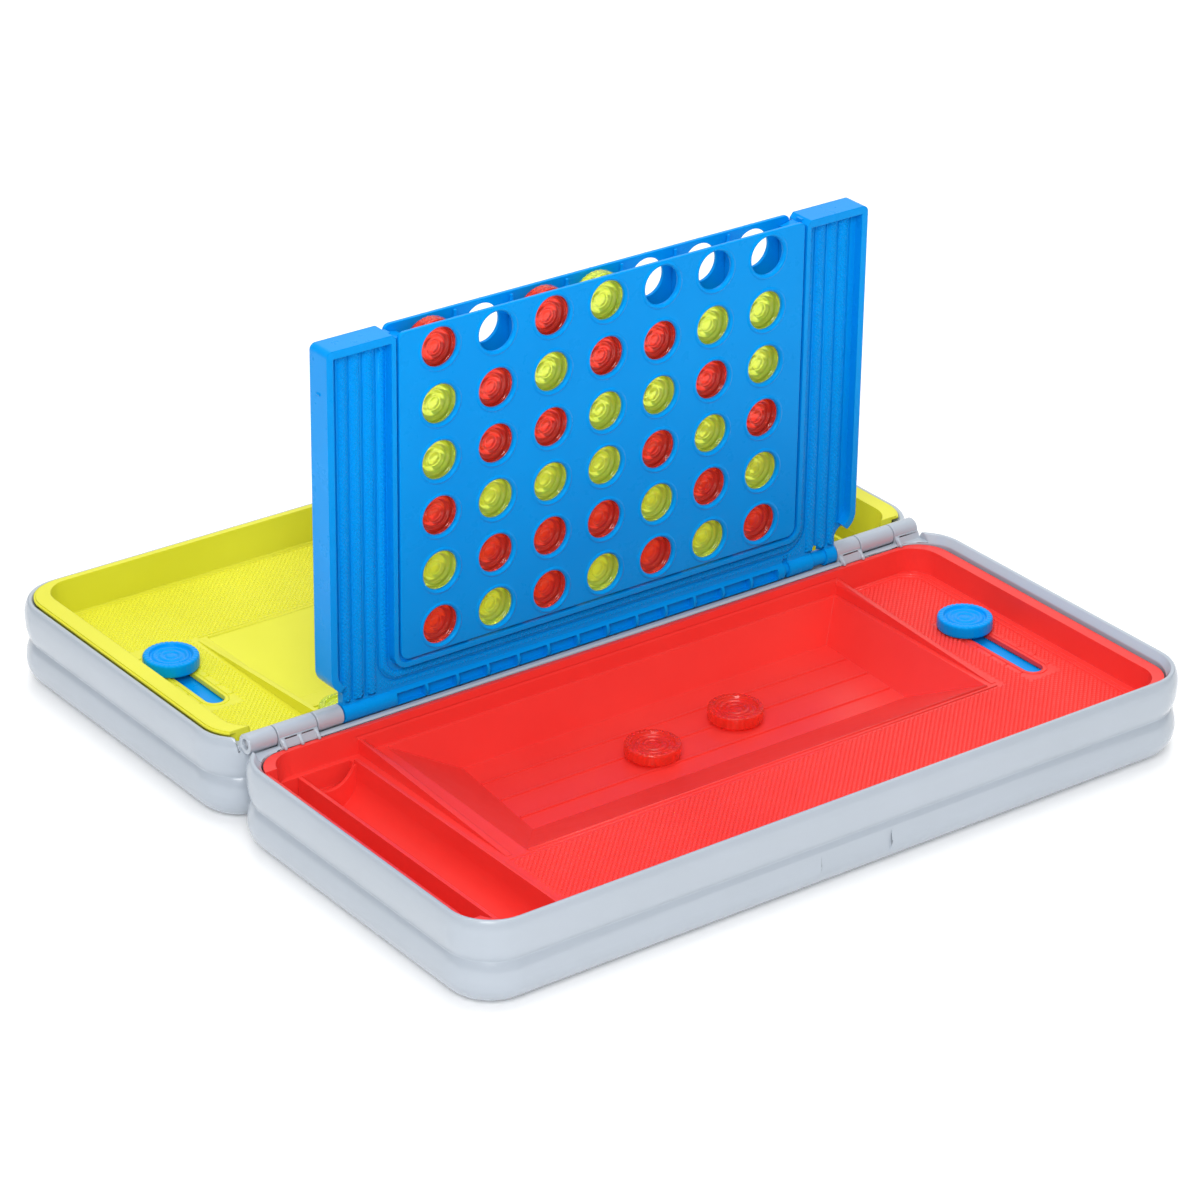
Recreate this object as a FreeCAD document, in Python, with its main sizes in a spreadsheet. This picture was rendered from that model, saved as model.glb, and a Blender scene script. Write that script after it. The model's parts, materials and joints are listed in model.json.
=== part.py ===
import FreeCAD, Part
import Sketcher
import math
import os

# Folding travel four in a row game, in millimetres.
# The origin is on the table under the middle of the hinge line. +X runs along the hinge,
# -Y is the half with the red tray, +Y the half with the yellow tray, +Z is up.
# The case lies open flat and the game grid stands upright on the hinge, its front facing -Y.

Vector = FreeCAD.Vector
Rotation = FreeCAD.Rotation
Placement = FreeCAD.Placement

doc = FreeCAD.newDocument("four_in_a_row")
sheet = doc.addObject("Spreadsheet::Sheet", "Dims")

# alias, value. Names ending in _y or _end in the case and trays are distances from the hinge.
DIMENSIONS = [
    # case halves: outline and outer wall
    ("case_half_len", 133.5), ("case_depth", 126.3), ("case_gap", 0.3),
    ("corner_rad", 16.0), ("rim_top", 28.22), ("base_inset", 7.4),
    ("belly_low", 9.2), ("belly_high", 23.6), ("groove_z", 15.0), ("groove_in", 1.8),
    ("rim_in", 1.25),
    # case cavity: insets from the outline at the sides, far wall and hinge wall
    ("floor_z", 1.8), ("floor_side", 6.0), ("floor_far", 5.5), ("floor_hinge", 6.2),
    ("floor_rad", 10.0),
    ("wall_z", 7.0), ("wall_side", 4.4), ("wall_far", 3.4), ("wall_hinge", 4.55),
    ("wall_rad", 12.0),
    ("slope_z", 25.55), ("slope_side", 5.2), ("slope_rad", 11.0),
    ("mouth_side", 2.35), ("mouth_hinge", 2.5), ("mouth_rad", 13.6),
    ("hinge_wall_top", 26.1), ("scoop_rad", 3.45),
    ("thumb_x", 0.2), ("thumb_len", 26.0), ("thumb_deep", 0.7),
    ("thumb_low", 5.0), ("thumb_high", 14.7),
    # hinge: stations along X where the knuckles meet
    ("axis_z", 28.3), ("knuckle_rad", 3.1), ("pin_rad", 1.5), ("bore_rad", 1.55),
    ("hinge_start", 93.6), ("joint_inner", 102.9), ("joint_outer", 116.7),
    ("hinge_end", 126.4), ("joint_gap", 0.15), ("gusset_wall", 1.0), ("gusset_deep", 2.6),
    ("pin_reach", 81.0),
    # trays
    ("deck_z", 17.4), ("tray_wall", 1.5), ("flange_z", 25.4), ("flange_high", 1.4),
    ("flange_x", 128.1), ("flange_near_y", 4.75), ("flange_far_y", 123.0),
    ("tray_x", 124.5), ("tray_near_y", 6.1), ("tray_far_y", 121.0),
    ("tray_foot_x", 123.4), ("tray_foot_near_y", 6.9), ("tray_foot_far_y", 120.6),
    ("lip_top", 29.2), ("basin_z", 3.9), ("ridge_top", 22.0), ("rib_high", 0.5),
    ("channel_x", 105.1), ("channel_rad", 9.1), ("channel_axis_z", 12.9),
    ("channel_wall", 1.2), ("channel_near_y", 12.4), ("channel_far_y", 119.2),
    ("channel_wall_top", 18.8), ("side_out", 127.9), ("side_in", 126.7), ("side_top", 24.5),
    ("slot_x", 107.5), ("slot_width", 6.4), ("slot_near_y", 43.8), ("slot_far_y", 83.5),
    # score slider
    ("knob_dia", 17.5), ("knob_thick", 4.2), ("knob_top", 22.2), ("stem_dia", 5.6),
    ("plate_width", 12.0), ("plate_len", 75.0), ("plate_thick", 1.6), ("plate_top", 15.5),
    ("red_knob_y", 48.6), ("yellow_knob_y", 71.5),
    ("rail_low", 12.4), ("rail_foot_high", 1.0), ("rail_near_y", 8.0), ("rail_far_y", 119.0),
    # grid
    ("grid_half", 98.76), ("grid_thick", 8.82), ("grid_top", 146.42),
    ("pitch_x", 20.0), ("pitch_z", 17.82), ("row_low", 49.59), ("hole_rad", 6.15),
    ("web_thick", 2.6), ("foot_half", 93.0), ("panel_half", 74.2), ("panel_low", 41.6),
    ("panel_thick", 1.3), ("cradle_in", 75.1), ("cradle_wall", 1.6), ("rim_wall", 2.2),
    ("cap_high", 2.5), ("divider", 1.7), ("divider_top", 143.6), ("barrel_half", 93.2),
    ("cell_high", 3.7), ("cell_pitch", 11.17), ("cell_gap", 1.0),
    # checkers and column dividers
    ("checker_dia", 17.6), ("checker_thick", 4.3), ("checker_gap", 0.02),
    ("comb_low", 39.75), ("comb_bar_top", 40.65), ("comb_half", 69.6), ("comb_thick", 5.8),
]


class Expr:
    """A number together with the sheet expression that gives it."""

    def __init__(self, value, text):
        self.value = float(value)
        self.text = text

    @staticmethod
    def of(number):
        if isinstance(number, Expr):
            return number
        return Expr(number, "(%r)" % float(number))

    def __add__(self, other):
        other = Expr.of(other)
        return Expr(self.value + other.value, "(%s + %s)" % (self.text, other.text))

    def __sub__(self, other):
        other = Expr.of(other)
        return Expr(self.value - other.value, "(%s - %s)" % (self.text, other.text))

    def __mul__(self, other):
        other = Expr.of(other)
        return Expr(self.value * other.value, "(%s * %s)" % (self.text, other.text))
    __rmul__ = __mul__

    def __truediv__(self, other):
        other = Expr.of(other)
        return Expr(self.value / other.value, "(%s / %s)" % (self.text, other.text))

    def __neg__(self):
        return Expr(-self.value, "(0 - %s)" % self.text)


class Dimensions:
    """Holds each driving dimension as an attribute bound to its sheet cell."""


dim = Dimensions()
for row, (alias, value) in enumerate(DIMENSIONS, start=1):
    sheet.set("A%d" % row, alias)
    sheet.set("B%d" % row, str(value))
    sheet.setAlias("B%d" % row, alias)
    setattr(dim, alias, Expr(value, "Dims.%s" % alias))
doc.recompute()


# ---------------------------------------------------------------------------
# Sketches. On XY sketch y is +Y, normal +Z. On XZ sketch y is +Z, normal -Y.
# On YZ sketch x is +Y, sketch y is +Z, normal +X.
# ---------------------------------------------------------------------------

XY, XZ, YZ = "XY_Plane", "XZ_Plane", "YZ_Plane"
SIDES = (("right", 1), ("left", -1))
BEND = 1 - math.sqrt(0.5)  # inset of a quarter arc's mid point from the corner, in radii


def origin_feature(body, role):
    for feature in body.Origin.OriginFeatures:
        if feature.Role == role:
            return feature
    raise ValueError(role)


def new_sketch(body, plane, name, offset):
    """Sketch on one of the body's origin planes, moved along its normal."""
    sketch = body.newObject("Sketcher::SketchObject", name)
    sketch.AttachmentSupport = [(origin_feature(body, plane), "")]
    sketch.MapMode = "FlatFace"
    offset = Expr.of(offset)
    sketch.AttachmentOffset = Placement(Vector(0, 0, offset.value), Rotation())
    sketch.setExpression("AttachmentOffset.Base.z", offset.text)
    return sketch


def pin_point(sketch, geometry, vertex, x, y):
    """Tie one vertex to the sheet by its two coordinates."""
    for kind, axis, number in (("DistanceX", -2, x), ("DistanceY", -1, y)):
        number = Expr.of(number)
        if abs(number.value) < 1e-9:
            sketch.addConstraint(
                Sketcher.Constraint("PointOnObject", geometry, vertex, axis))
        else:
            index = sketch.addConstraint(
                Sketcher.Constraint(kind, -1, 1, geometry, vertex, number.value))
            sketch.setExpression("Constraints[%d]" % index, number.text)


def to_vector(point):
    return Vector(Expr.of(point[0]).value, Expr.of(point[1]).value, 0)


def outline(sketch, points, arcs=None):
    """Closed outline through points; arcs maps a segment index to its mid point."""
    arcs = arcs or {}
    segments = []
    for i, point in enumerate(points):
        start = to_vector(point)
        end = to_vector(points[(i + 1) % len(points)])
        if i in arcs:
            arc = Part.Arc(start, to_vector(arcs[i]), end)
            geometry = sketch.addGeometry(arc, False)
            # the sketcher may store an arc with its ends swapped
            kept = (sketch.getPoint(geometry, 1) - start).Length < 1e-6
            segments.append((geometry, 1, 2) if kept else (geometry, 2, 1))
        else:
            geometry = sketch.addGeometry(Part.LineSegment(start, end), False)
            segments.append((geometry, 1, 2))
    for i, (geometry, _, last) in enumerate(segments):
        following, first, _ = segments[(i + 1) % len(segments)]
        sketch.addConstraint(
            Sketcher.Constraint("Coincident", geometry, last, following, first))
    for (geometry, first, _), (x, y) in zip(segments, points):
        pin_point(sketch, geometry, first, x, y)


def circle(sketch, x, y, radius):
    radius = Expr.of(radius)
    shape = Part.Circle(to_vector((x, y)), Vector(0, 0, 1), radius.value)
    geometry = sketch.addGeometry(shape, False)
    index = sketch.addConstraint(Sketcher.Constraint("Radius", geometry, radius.value))
    sketch.setExpression("Constraints[%d]" % index, radius.text)
    pin_point(sketch, geometry, 3, x, y)


def draw(body, plane, name, offset, points, arcs=None):
    sketch = new_sketch(body, plane, name, offset)
    outline(sketch, points, arcs)
    return sketch


def draw_circle(body, plane, name, offset, x, y, radius):
    sketch = new_sketch(body, plane, name, offset)
    circle(sketch, x, y, radius)
    return sketch


def box(x0, x1, y0, y1):
    return [(x0, y0), (x1, y0), (x1, y1), (x0, y1)]


def bend(x, y, dx, dy):
    """Mid point of the quarter arc rounding corner (x, y); dx, dy are signed radii."""
    return (x + dx * BEND, y + dy * BEND)


def draw_plan(body, name, z, half_x, near, far, radius):
    """Rounded rectangle in plan, from y = far to y = near, the hinge side."""
    near, far, r = Expr.of(near), Expr.of(far), Expr.of(radius)
    x = Expr.of(half_x)
    points = [(x, far + r), (x, near - r), (x - r, near), (-x + r, near),
              (-x, near - r), (-x, far + r), (-x + r, far), (x - r, far)]
    arcs = {1: bend(x, near, -r, -r), 3: bend(-x, near, r, -r),
            5: bend(-x, far, r, r), 7: bend(x, far, -r, r)}
    return draw(body, XY, name, z, points, arcs)


def u_turn(x, z, radius):
    """Bottom of a U from right to left, its corners rounded."""
    return [(x, z + radius), (x - radius, z), (-x + radius, z), (-x, z + radius)]


def u_band(sketch, inner, outer, top):
    """U shaped band; inner and outer are (half width, bottom, corner radius)."""
    points = ([(inner[0], top)] + u_turn(*inner) + [(-inner[0], top), (-outer[0], top)]
              + u_turn(*outer)[::-1] + [(outer[0], top)])
    arcs = {}
    for first, second, (x, z, r) in ((1, 3, inner), (9, 7, outer)):
        arcs[first] = bend(x, z, -r, r)
        arcs[second] = bend(-x, z, r, r)
    outline(sketch, points, arcs)


# ---------------------------------------------------------------------------
# Features and bodies
# ---------------------------------------------------------------------------

def new_body(label):
    body = doc.addObject("PartDesign::Body", label)
    body.Label = label
    return body


def extrude(body, kind, sketch, length, name):
    length = Expr.of(length)
    feature = body.newObject("PartDesign::" + kind, name)
    feature.Profile = sketch
    feature.Length = length.value
    feature.setExpression("Length", length.text)
    body.Tip = feature
    return feature


def pad(body, sketch, length, name):
    extrude(body, "Pad", sketch, length, name)


def cut(body, sketch, depth, name, along=False, both=False):
    """Pocket against the sketch normal, along it, or half to both sides."""
    feature = extrude(body, "Pocket", sketch, depth, name)
    feature.Midplane = both
    feature.Reversed = along
    return feature


def loft(body, kind, low, high, name):
    feature = body.newObject("PartDesign::" + kind, name)
    feature.Profile = low
    feature.Sections = [high]
    feature.Ruled = True
    body.Tip = feature


def revolve(body, sketch, axis, name):
    feature = body.newObject("PartDesign::Revolution", name)
    feature.Profile = sketch
    feature.ReferenceAxis = (sketch, [axis])
    feature.Angle = 360
    body.Tip = feature


def place(body, x, y, z, rotation):
    base = [Expr.of(number) for number in (x, y, z)]
    body.Placement = Placement(Vector(*[number.value for number in base]), rotation)
    for axis, number in zip("xyz", base):
        body.setExpression("Placement.Base." + axis, number.text)


HALF_TURN = Rotation(Vector(0, 0, 1), 180)
CUT_TYPES = ("PartDesign::Pocket", "PartDesign::SubtractivePipe",
             "PartDesign::SubtractiveLoft")


def finish(body, rear=False):
    """Make sure every cut removes material; a rear piece is turned to the +Y half."""
    doc.recompute()
    for feature in body.Group:
        if feature.TypeId not in CUT_TYPES:
            continue
        base = feature.BaseFeature.Shape
        if base.isNull() or feature.Shape.isNull():
            raise RuntimeError("empty shape at " + feature.Label)
        if not feature.Shape.Volume < base.Volume - 1e-3:
            raise RuntimeError("no material removed by " + feature.Label)
    if rear:
        body.Placement = Placement(Vector(0, 0, 0), HALF_TURN)
    return body


# ---------------------------------------------------------------------------
# Case shell: one moulding used twice, once per half, drawn on the -Y side
# ---------------------------------------------------------------------------

case_far = dim.case_gap + dim.case_depth
case_mid = (dim.case_gap + case_far) / 2
hinge_opening = dim.hinge_end * 2 + 0.4
DIAGONAL = 0.7071  # cosine of 45 degrees


def case_plan(body, name):
    return draw_plan(body, name, 0, dim.case_half_len, -dim.case_gap, -case_far,
                     dim.corner_rad)


def cut_outer_wall(body, label):
    """Sweep away everything outside the double belly of the wall."""
    depth, groove = dim.groove_in, dim.groove_z
    low, rim = dim.belly_low, dim.rim_top
    path = case_plan(body, label + "_spine")
    # inset from the outline, z; the last points run round outside the wall
    profile = [
        (dim.base_inset, 0), (0, low),
        (depth * 0.12, low + 2.3), (depth * 0.48, low + 4.4), (depth, groove),
        (depth * 0.48, groove + 1.7), (depth * 0.12, groove + 4.6), (0, dim.belly_high),
        (dim.rim_in, rim), (dim.rim_in, rim + 1.5),
        (-2, rim + 1.5), (-2, -1.0), (dim.base_inset, -1.0)]
    arcs = {0: (2.0, 3.2), 7: (0.318, 25.99)}
    side = dim.case_half_len
    points = [(side - inset, z) for inset, z in profile]
    mids = {i: (side - inset, z) for i, (inset, z) in arcs.items()}
    feature_profile = draw(body, XZ, label + "_outside", case_mid, points, mids)
    sweep = body.newObject("PartDesign::SubtractivePipe", label + "_sides")
    sweep.Profile = feature_profile
    sweep.Spine = (path, ["Edge%d" % (i + 1) for i in range(8)])
    sweep.Mode = "Standard"
    sweep.Transition = "Transformed"
    body.Tip = sweep


def cut_cavity(body, label):
    """Tapered foot, straight wall, then the sloped inner face of the rim."""
    def level(name, z, side, far, hinge, radius):
        return draw_plan(body, label + name, z, dim.case_half_len - side, -hinge,
                         -case_far + far, radius)

    straight = (dim.wall_z, dim.wall_side, dim.wall_far, dim.wall_hinge, dim.wall_rad)
    low = level("_cav0", dim.floor_z, dim.floor_side, dim.floor_far, dim.floor_hinge,
                dim.floor_rad)
    loft(body, "SubtractiveLoft", low, level("_cav1", *straight), label + "_foot_cavity")
    cut(body, level("_cav2", *straight), 40, label + "_cavity", along=True)
    low = level("_rim0", dim.slope_z, dim.slope_side, dim.wall_far, dim.wall_hinge,
                dim.slope_rad)
    high = level("_rim1", dim.rim_top + 0.05, dim.mouth_side, dim.mouth_side,
                 dim.mouth_hinge, dim.mouth_rad)
    loft(body, "SubtractiveLoft", low, high, label + "_rim_slope")


def add_knuckles(body, label):
    """Three knuckles with their leaves, then upright gussets against the leaves."""
    r, axis = dim.knuckle_rad, dim.axis_z
    gap = dim.joint_gap
    spans = [(-dim.joint_outer + gap, -dim.joint_inner - gap),
             (dim.hinge_start, dim.joint_inner - gap),
             (dim.joint_outer + gap, dim.hinge_end)]
    ring = [(0, axis + r), (0, axis - r), (-r, axis)]
    ring_mids = {0: (r, axis), 1: (-r * DIAGONAL, axis - r * DIAGONAL),
                 2: (-r * DIAGONAL, axis + r * DIAGONAL)}
    leaf = [(-r + 0.9, axis), (-r + 0.9, axis - 1.9), (-3.3, 24.6), (-4.5, 24.6),
            (-4.5, 26.0), (-r - 0.3, axis - 0.1)]
    for n, (start, end) in enumerate(spans, start=1):
        tag = "%s_knuckle_%d" % (label, n)
        pad(body, draw(body, YZ, tag + "_sk", start, ring, ring_mids), end - start, tag)
        pad(body, draw(body, YZ, tag + "_leaf_sk", start, leaf), end - start,
            tag + "_leaf")
    doc.recompute()
    back = -r - dim.gusset_deep
    foot = dim.flange_z + 0.06
    gusset = [(-r - 0.8, foot), (-r - 0.1, axis - 0.25), (-r - 0.7, axis - 0.35),
              (back, 26.4), (back - 0.1, foot)]
    starts = [-dim.joint_outer + 0.6, -(dim.joint_outer + dim.joint_inner) / 2 - 0.5,
              -dim.joint_inner - 1.6, dim.hinge_start + 0.4, dim.joint_inner - 1.3,
              dim.joint_outer + 0.5]
    for n, x in enumerate(starts, start=1):
        tag = "%s_gusset_%d" % (label, n)
        pad(body, draw(body, YZ, tag + "_sk", x, gusset), dim.gusset_wall, tag)


def build_shell(label, rear):
    body = new_body(label)
    pad(body, case_plan(body, label + "_plan"), dim.rim_top, label + "_block")
    doc.recompute()
    cut_outer_wall(body, label)
    cut_cavity(body, label)
    # the hinge side wall is lowered and hollowed round the hinge barrel
    gap = draw(body, YZ, label + "_hinge_gap", 0,
               box(-8.0, 2.0, dim.hinge_wall_top, dim.rim_top + 3))
    cut(body, gap, hinge_opening, label + "_hinge_gap_cut", both=True)
    scoop = draw_circle(body, YZ, label + "_scoop", 0, 0, dim.axis_z, dim.scoop_rad)
    cut(body, scoop, hinge_opening, label + "_scoop_cut", both=True)
    add_knuckles(body, label)
    bore = draw_circle(body, YZ, label + "_bore_sk", 0, 0, dim.axis_z, dim.bore_rad)
    cut(body, bore, dim.hinge_end * 2 + 2, label + "_bore", both=True)
    # shallow thumb recess in the outside of the far wall
    thumb_half = dim.thumb_len / 2
    thumb = draw(body, XZ, label + "_thumb_sk", case_far - dim.thumb_deep,
                 box(dim.thumb_x - thumb_half, dim.thumb_x + thumb_half,
                     dim.thumb_low, dim.thumb_high))
    cut(body, thumb, 5, label + "_thumb", along=True)
    return finish(body, rear)


# ---------------------------------------------------------------------------
# Tray: deck, sloped walls, flange, scooped basin, checker channel, score slot.
# The yellow one also has a raised closing lip that fits inside the other rim.
# Drawn on the -Y side, with the channel at -X and the slot at +X.
# ---------------------------------------------------------------------------

# name, bottom z, height, half width, near y, far y, corner radius
LIP_TIERS = [
    ("core", dim.flange_z - 0.3, dim.rim_top - dim.flange_z + 0.4,
     127.9, -4.8, -122.8, 10.6),
    ("ledge", dim.rim_top - 0.02, dim.lip_top - dim.rim_top - 0.38,
     130.4, -3.2, -123.6, 12.9),
    ("crown", dim.rim_top + 0.2, dim.lip_top - dim.rim_top - 0.2,
     129.8, -3.8, -123.0, 12.3),
]
# basin corners in plan (x, y): outside skin and hollow, at the floor and at the top
SKIN_FLOOR = [(-60.0, -10.6), (83.8, -10.6), (81.6, -55.6), (-64.6, -55.6)]
SKIN_TOP = [(-92.0, -4.95), (89.8, -4.95), (90.6, -83.0), (-92.0, -83.0)]
HOLLOW_FLOOR = [(-57.8, -12.1), (82.4, -12.1), (79.9, -54.0), (-62.2, -54.0)]
HOLLOW_TOP = [(-92.6, -6.3), (90.9, -6.3), (91.4, -92.2), (-93.4, -92.2)]
HOLLOW_TOP_Z = 22.9
RIDGE_SPANS = [(-91.3, -89.3), (89.9, 91.6)]     # x from, x to
RIB_DISTANCES = (23.5, 34.6, 46.3)               # from the hinge
RIB_HALF_WALL = 0.4
CHANNEL_SKIN_Z = 2.5
OUTER_SKIN_Z = 8.0                               # skins between channel and case side
OUTER_HOLLOW_Z = 9.4
SIDE_NEAR, SIDE_FAR = -13.2, -114.6              # y range of the side gap
POCKET_Z = 11.0                                  # floor behind the channel's end wall
SADDLE_Z = 20.6

# x of the channel's inner faces and of the outside of its walls
channel_left = -dim.channel_x - dim.channel_rad
channel_right = -dim.channel_x + dim.channel_rad
wall_left = channel_left - dim.channel_wall
wall_right = channel_right + dim.channel_wall


def pad_box(body, name, low, high, x0, x1, y0, y1):
    pad(body, draw(body, XY, name + "_sk", low, box(x0, x1, y0, y1)), high - low, name)


def cut_box_up(body, name, low, depth, x0, x1, y0, y1):
    cut(body, draw(body, XY, name + "_sk", low, box(x0, x1, y0, y1)), depth, name,
        along=True)


def pad_rail(body, name, x0, x1, z0, z1, near, far):
    """Bar between two distances from the hinge."""
    pad(body, draw(body, XZ, name + "_sk", near, box(x0, x1, z0, z1)), far - near, name)


def add_tray_solids(body, label, lip):
    deck, wall, flange = dim.deck_z, dim.tray_wall, dim.flange_z
    block = draw_plan(body, label + "_block_sk", deck - wall, dim.tray_x + wall - 0.3,
                      -4.9, -dim.tray_far_y - 1.1, 10)
    pad(body, block, flange - deck + wall, label + "_block")
    rim = draw_plan(body, label + "_flange_sk", flange - dim.flange_high, dim.flange_x,
                    -dim.flange_near_y, -dim.flange_far_y, 10.8)
    pad(body, rim, dim.flange_high, label + "_flange")
    if lip:
        for tier, z, height, *plan in LIP_TIERS:
            name = "%s_lip_%s" % (label, tier)
            pad(body, draw_plan(body, name + "_sk", z, *plan), height, name)
    # basin and channel skins below the deck
    low = draw(body, XY, label + "_basin_skin0", dim.basin_z - 1.5, SKIN_FLOOR)
    high = draw(body, XY, label + "_basin_skin1", deck - 0.05, SKIN_TOP)
    loft(body, "AdditiveLoft", low, high, label + "_basin_skin")
    far, near = -dim.channel_far_y - 0.3, -7.6
    pad_box(body, label + "_chan_skin", CHANNEL_SKIN_Z, deck - 0, wall_left, wall_right,
            far, near)
    pad_box(body, label + "_gap_skin", OUTER_SKIN_Z, deck, -124.4, wall_left, far, near)
    if not lip:
        # beside the channel the outer wall stands further out, right against the case
        pad_box(body, label + "_side_skin", OUTER_SKIN_Z, dim.side_top,
                -dim.side_out, -124.0, SIDE_FAR - 1.2, SIDE_NEAR + 1.2)
    doc.recompute()


def shape_tray_inside(body, label):
    deck = dim.deck_z
    low = draw_plan(body, label + "_in0", deck, dim.tray_foot_x, -dim.tray_foot_near_y,
                    -dim.tray_foot_far_y, 8.5)
    high = draw_plan(body, label + "_in1", dim.lip_top + 0.3, dim.tray_x,
                     -dim.tray_near_y, -dim.tray_far_y, 9.6)
    loft(body, "SubtractiveLoft", low, high, label + "_inside")
    # ridges either side of the basin, falling from the hinge side to the deck
    ridge = [(-5.6, deck - 1.0), (-5.6, dim.ridge_top), (-81.5, deck + 0.15),
             (-81.5, deck - 1.0)]
    for n, (x0, x1) in enumerate(RIDGE_SPANS):
        name = "%s_ridge%d" % (label, n)
        pad(body, draw(body, YZ, name + "_sk", x0, ridge), x1 - x0, name)
    # walls of the checker channel stand just proud of the deck
    walls = [(wall_left, channel_left), (channel_right, wall_right)]
    for n, (x0, x1) in enumerate(walls):
        pad_box(body, "%s_chan_wall%d" % (label, n), deck - 1.5, dim.channel_wall_top,
                x0, x1, -dim.tray_foot_far_y - 0.2, -dim.channel_near_y + 1.2)
    doc.recompute()
    low = draw(body, XY, label + "_basin0", dim.basin_z, HOLLOW_FLOOR)
    high = draw(body, XY, label + "_basin1", HOLLOW_TOP_Z, HOLLOW_TOP)
    loft(body, "SubtractiveLoft", low, high, label + "_basin")
    # ribs along X on the basin floor, each a little shorter at its +X end
    for n, y in enumerate(RIB_DISTANCES):
        pad_rail(body, "%s_rib%d" % (label, n), -58.6 - n * 1.2, 81.0 - n * 0.7,
                 dim.basin_z - 0.3, dim.basin_z + dim.rib_high,
                 y - RIB_HALF_WALL, y + RIB_HALF_WALL)


def cut_channel(body, label, lip):
    """Trough, relief beside it and pocket behind its end wall."""
    end = dim.channel_near_y
    trough_far = dim.channel_far_y - 1.2
    axis_x, r = -dim.channel_x, dim.channel_rad
    cut_box_up(body, label + "_trough", dim.channel_axis_z, 10,
               channel_left, channel_right, -trough_far, -end)
    trough = draw_circle(body, XZ, label + "_trough_round_sk", end, axis_x,
                         dim.channel_axis_z, r)
    cut(body, trough, trough_far - end, label + "_trough_round", along=True)
    cut_box_up(body, label + "_relief", OUTER_HOLLOW_Z, 10, -dim.tray_foot_x + 0.1,
               wall_left, -dim.channel_far_y + 0.4, -8.8)
    if not lip:
        cut_box_up(body, label + "_side", OUTER_HOLLOW_Z, 22, -dim.side_in, -123.2,
                   SIDE_FAR, SIDE_NEAR)
        cut_box_up(body, label + "_side_rim", dim.side_top, 3, -128.4,
                   -dim.side_in + 0.1, SIDE_FAR, SIDE_NEAR)
    cut_box_up(body, label + "_behind", POCKET_Z, 10, wall_left - 0.01,
               channel_right + 0.2, -end + 1.2, -8.8)
    # round dip in the top of the end wall
    saddle = draw_circle(body, XZ, label + "_saddle_sk", end - 1.4, axis_x, SADDLE_Z, r)
    cut(body, saddle, 2.0, label + "_saddle", along=True)


def add_score_track(body, label):
    """Score slot through the deck, and rails below that carry the slider plate."""
    x, r = dim.slot_x, dim.slot_width / 2
    near, far = -dim.slot_near_y, -dim.slot_far_y
    slot = draw(body, XY, label + "_slot_sk", dim.deck_z + 0.5,
                [(x + r, far + r), (x + r, near - r), (x - r, near - r), (x - r, far + r)],
                {1: (x, near), 3: (x, far)})
    cut(body, slot, 4, label + "_slot")
    low, reach = dim.rail_low, (dim.rail_near_y, dim.rail_far_y)
    for side, sign in (("l", -1), ("r", 1)):
        edge = x + sign * dim.plate_width / 2
        outside = edge + sign * 1.3
        pad_rail(body, label + "_rail_" + side, edge + sign * 0.25, outside,
                 low, dim.deck_z - dim.tray_wall + 0.1, *reach)
        pad_rail(body, label + "_rail_foot_" + side, edge - sign * 1.2, outside,
                 low, low + dim.rail_foot_high, *reach)
    doc.recompute()


def build_tray(label, lip, rear):
    body = new_body(label)
    add_tray_solids(body, label, lip)
    shape_tray_inside(body, label)
    cut_channel(body, label, lip)
    add_score_track(body, label)
    if lip:
        # the lip is open along the hinge side, clear of the knuckles
        gap = draw(body, YZ, label + "_lip_gap_sk", 0, box(-7.6, -1.0, dim.flange_z, 31.0))
        cut(body, gap, dim.hinge_end * 2 + 0.8, label + "_lip_gap", both=True)
    return finish(body, rear)


# ---------------------------------------------------------------------------
# Score slider: a plate under the deck and a knob shaped like a checker on top
# ---------------------------------------------------------------------------

EDGE_CHAMFER = 0.45  # on checkers and knobs


def build_plate(label, knob_y, rear):
    body = new_body(label)
    x, y = dim.slot_x, -knob_y
    x0, x1 = x - dim.plate_width / 2, x + dim.plate_width / 2
    y0, y1 = y - dim.plate_len / 2, y + dim.plate_len / 2
    chamfer = 1.5
    points = [(x0 + chamfer, y0), (x1 - chamfer, y0), (x1, y0 + chamfer),
              (x1, y1 - chamfer), (x1 - chamfer, y1), (x0 + chamfer, y1),
              (x0, y1 - chamfer), (x0, y0 + chamfer)]
    plate = draw(body, XY, label + "_sk", dim.plate_top - dim.plate_thick, points)
    pad(body, plate, dim.plate_thick, label + "_plate")
    # round socket for the knob's pin
    socket = draw_circle(body, XY, label + "_socket_sk", dim.plate_top + 1, x, y,
                         dim.stem_dia / 2 - 1.35)
    cut(body, socket, 5, label + "_socket")
    return finish(body, rear)


def disc_profile(r, low, high, deep):
    """Half section (radius, z): raised rim, sunken face with stepped rings."""
    # radius as a share of r, sinking as a share of deep
    face = [(0.30, 1), (0.34, 0.55), (0.62, 0.55), (0.66, 1), (0.74, 1), (0.80, 0)]
    edge = EDGE_CHAMFER
    lower = [(r * share, low + sunk * deep) for share, sunk in face]
    upper = [(r * share, high - sunk * deep) for share, sunk in reversed(face)]
    return ([(0, low + deep)] + lower + [(r - edge, low), (r, low + edge)]
            + [(r, high - edge), (r - edge, high)] + upper + [(0, high - deep)])


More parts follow.
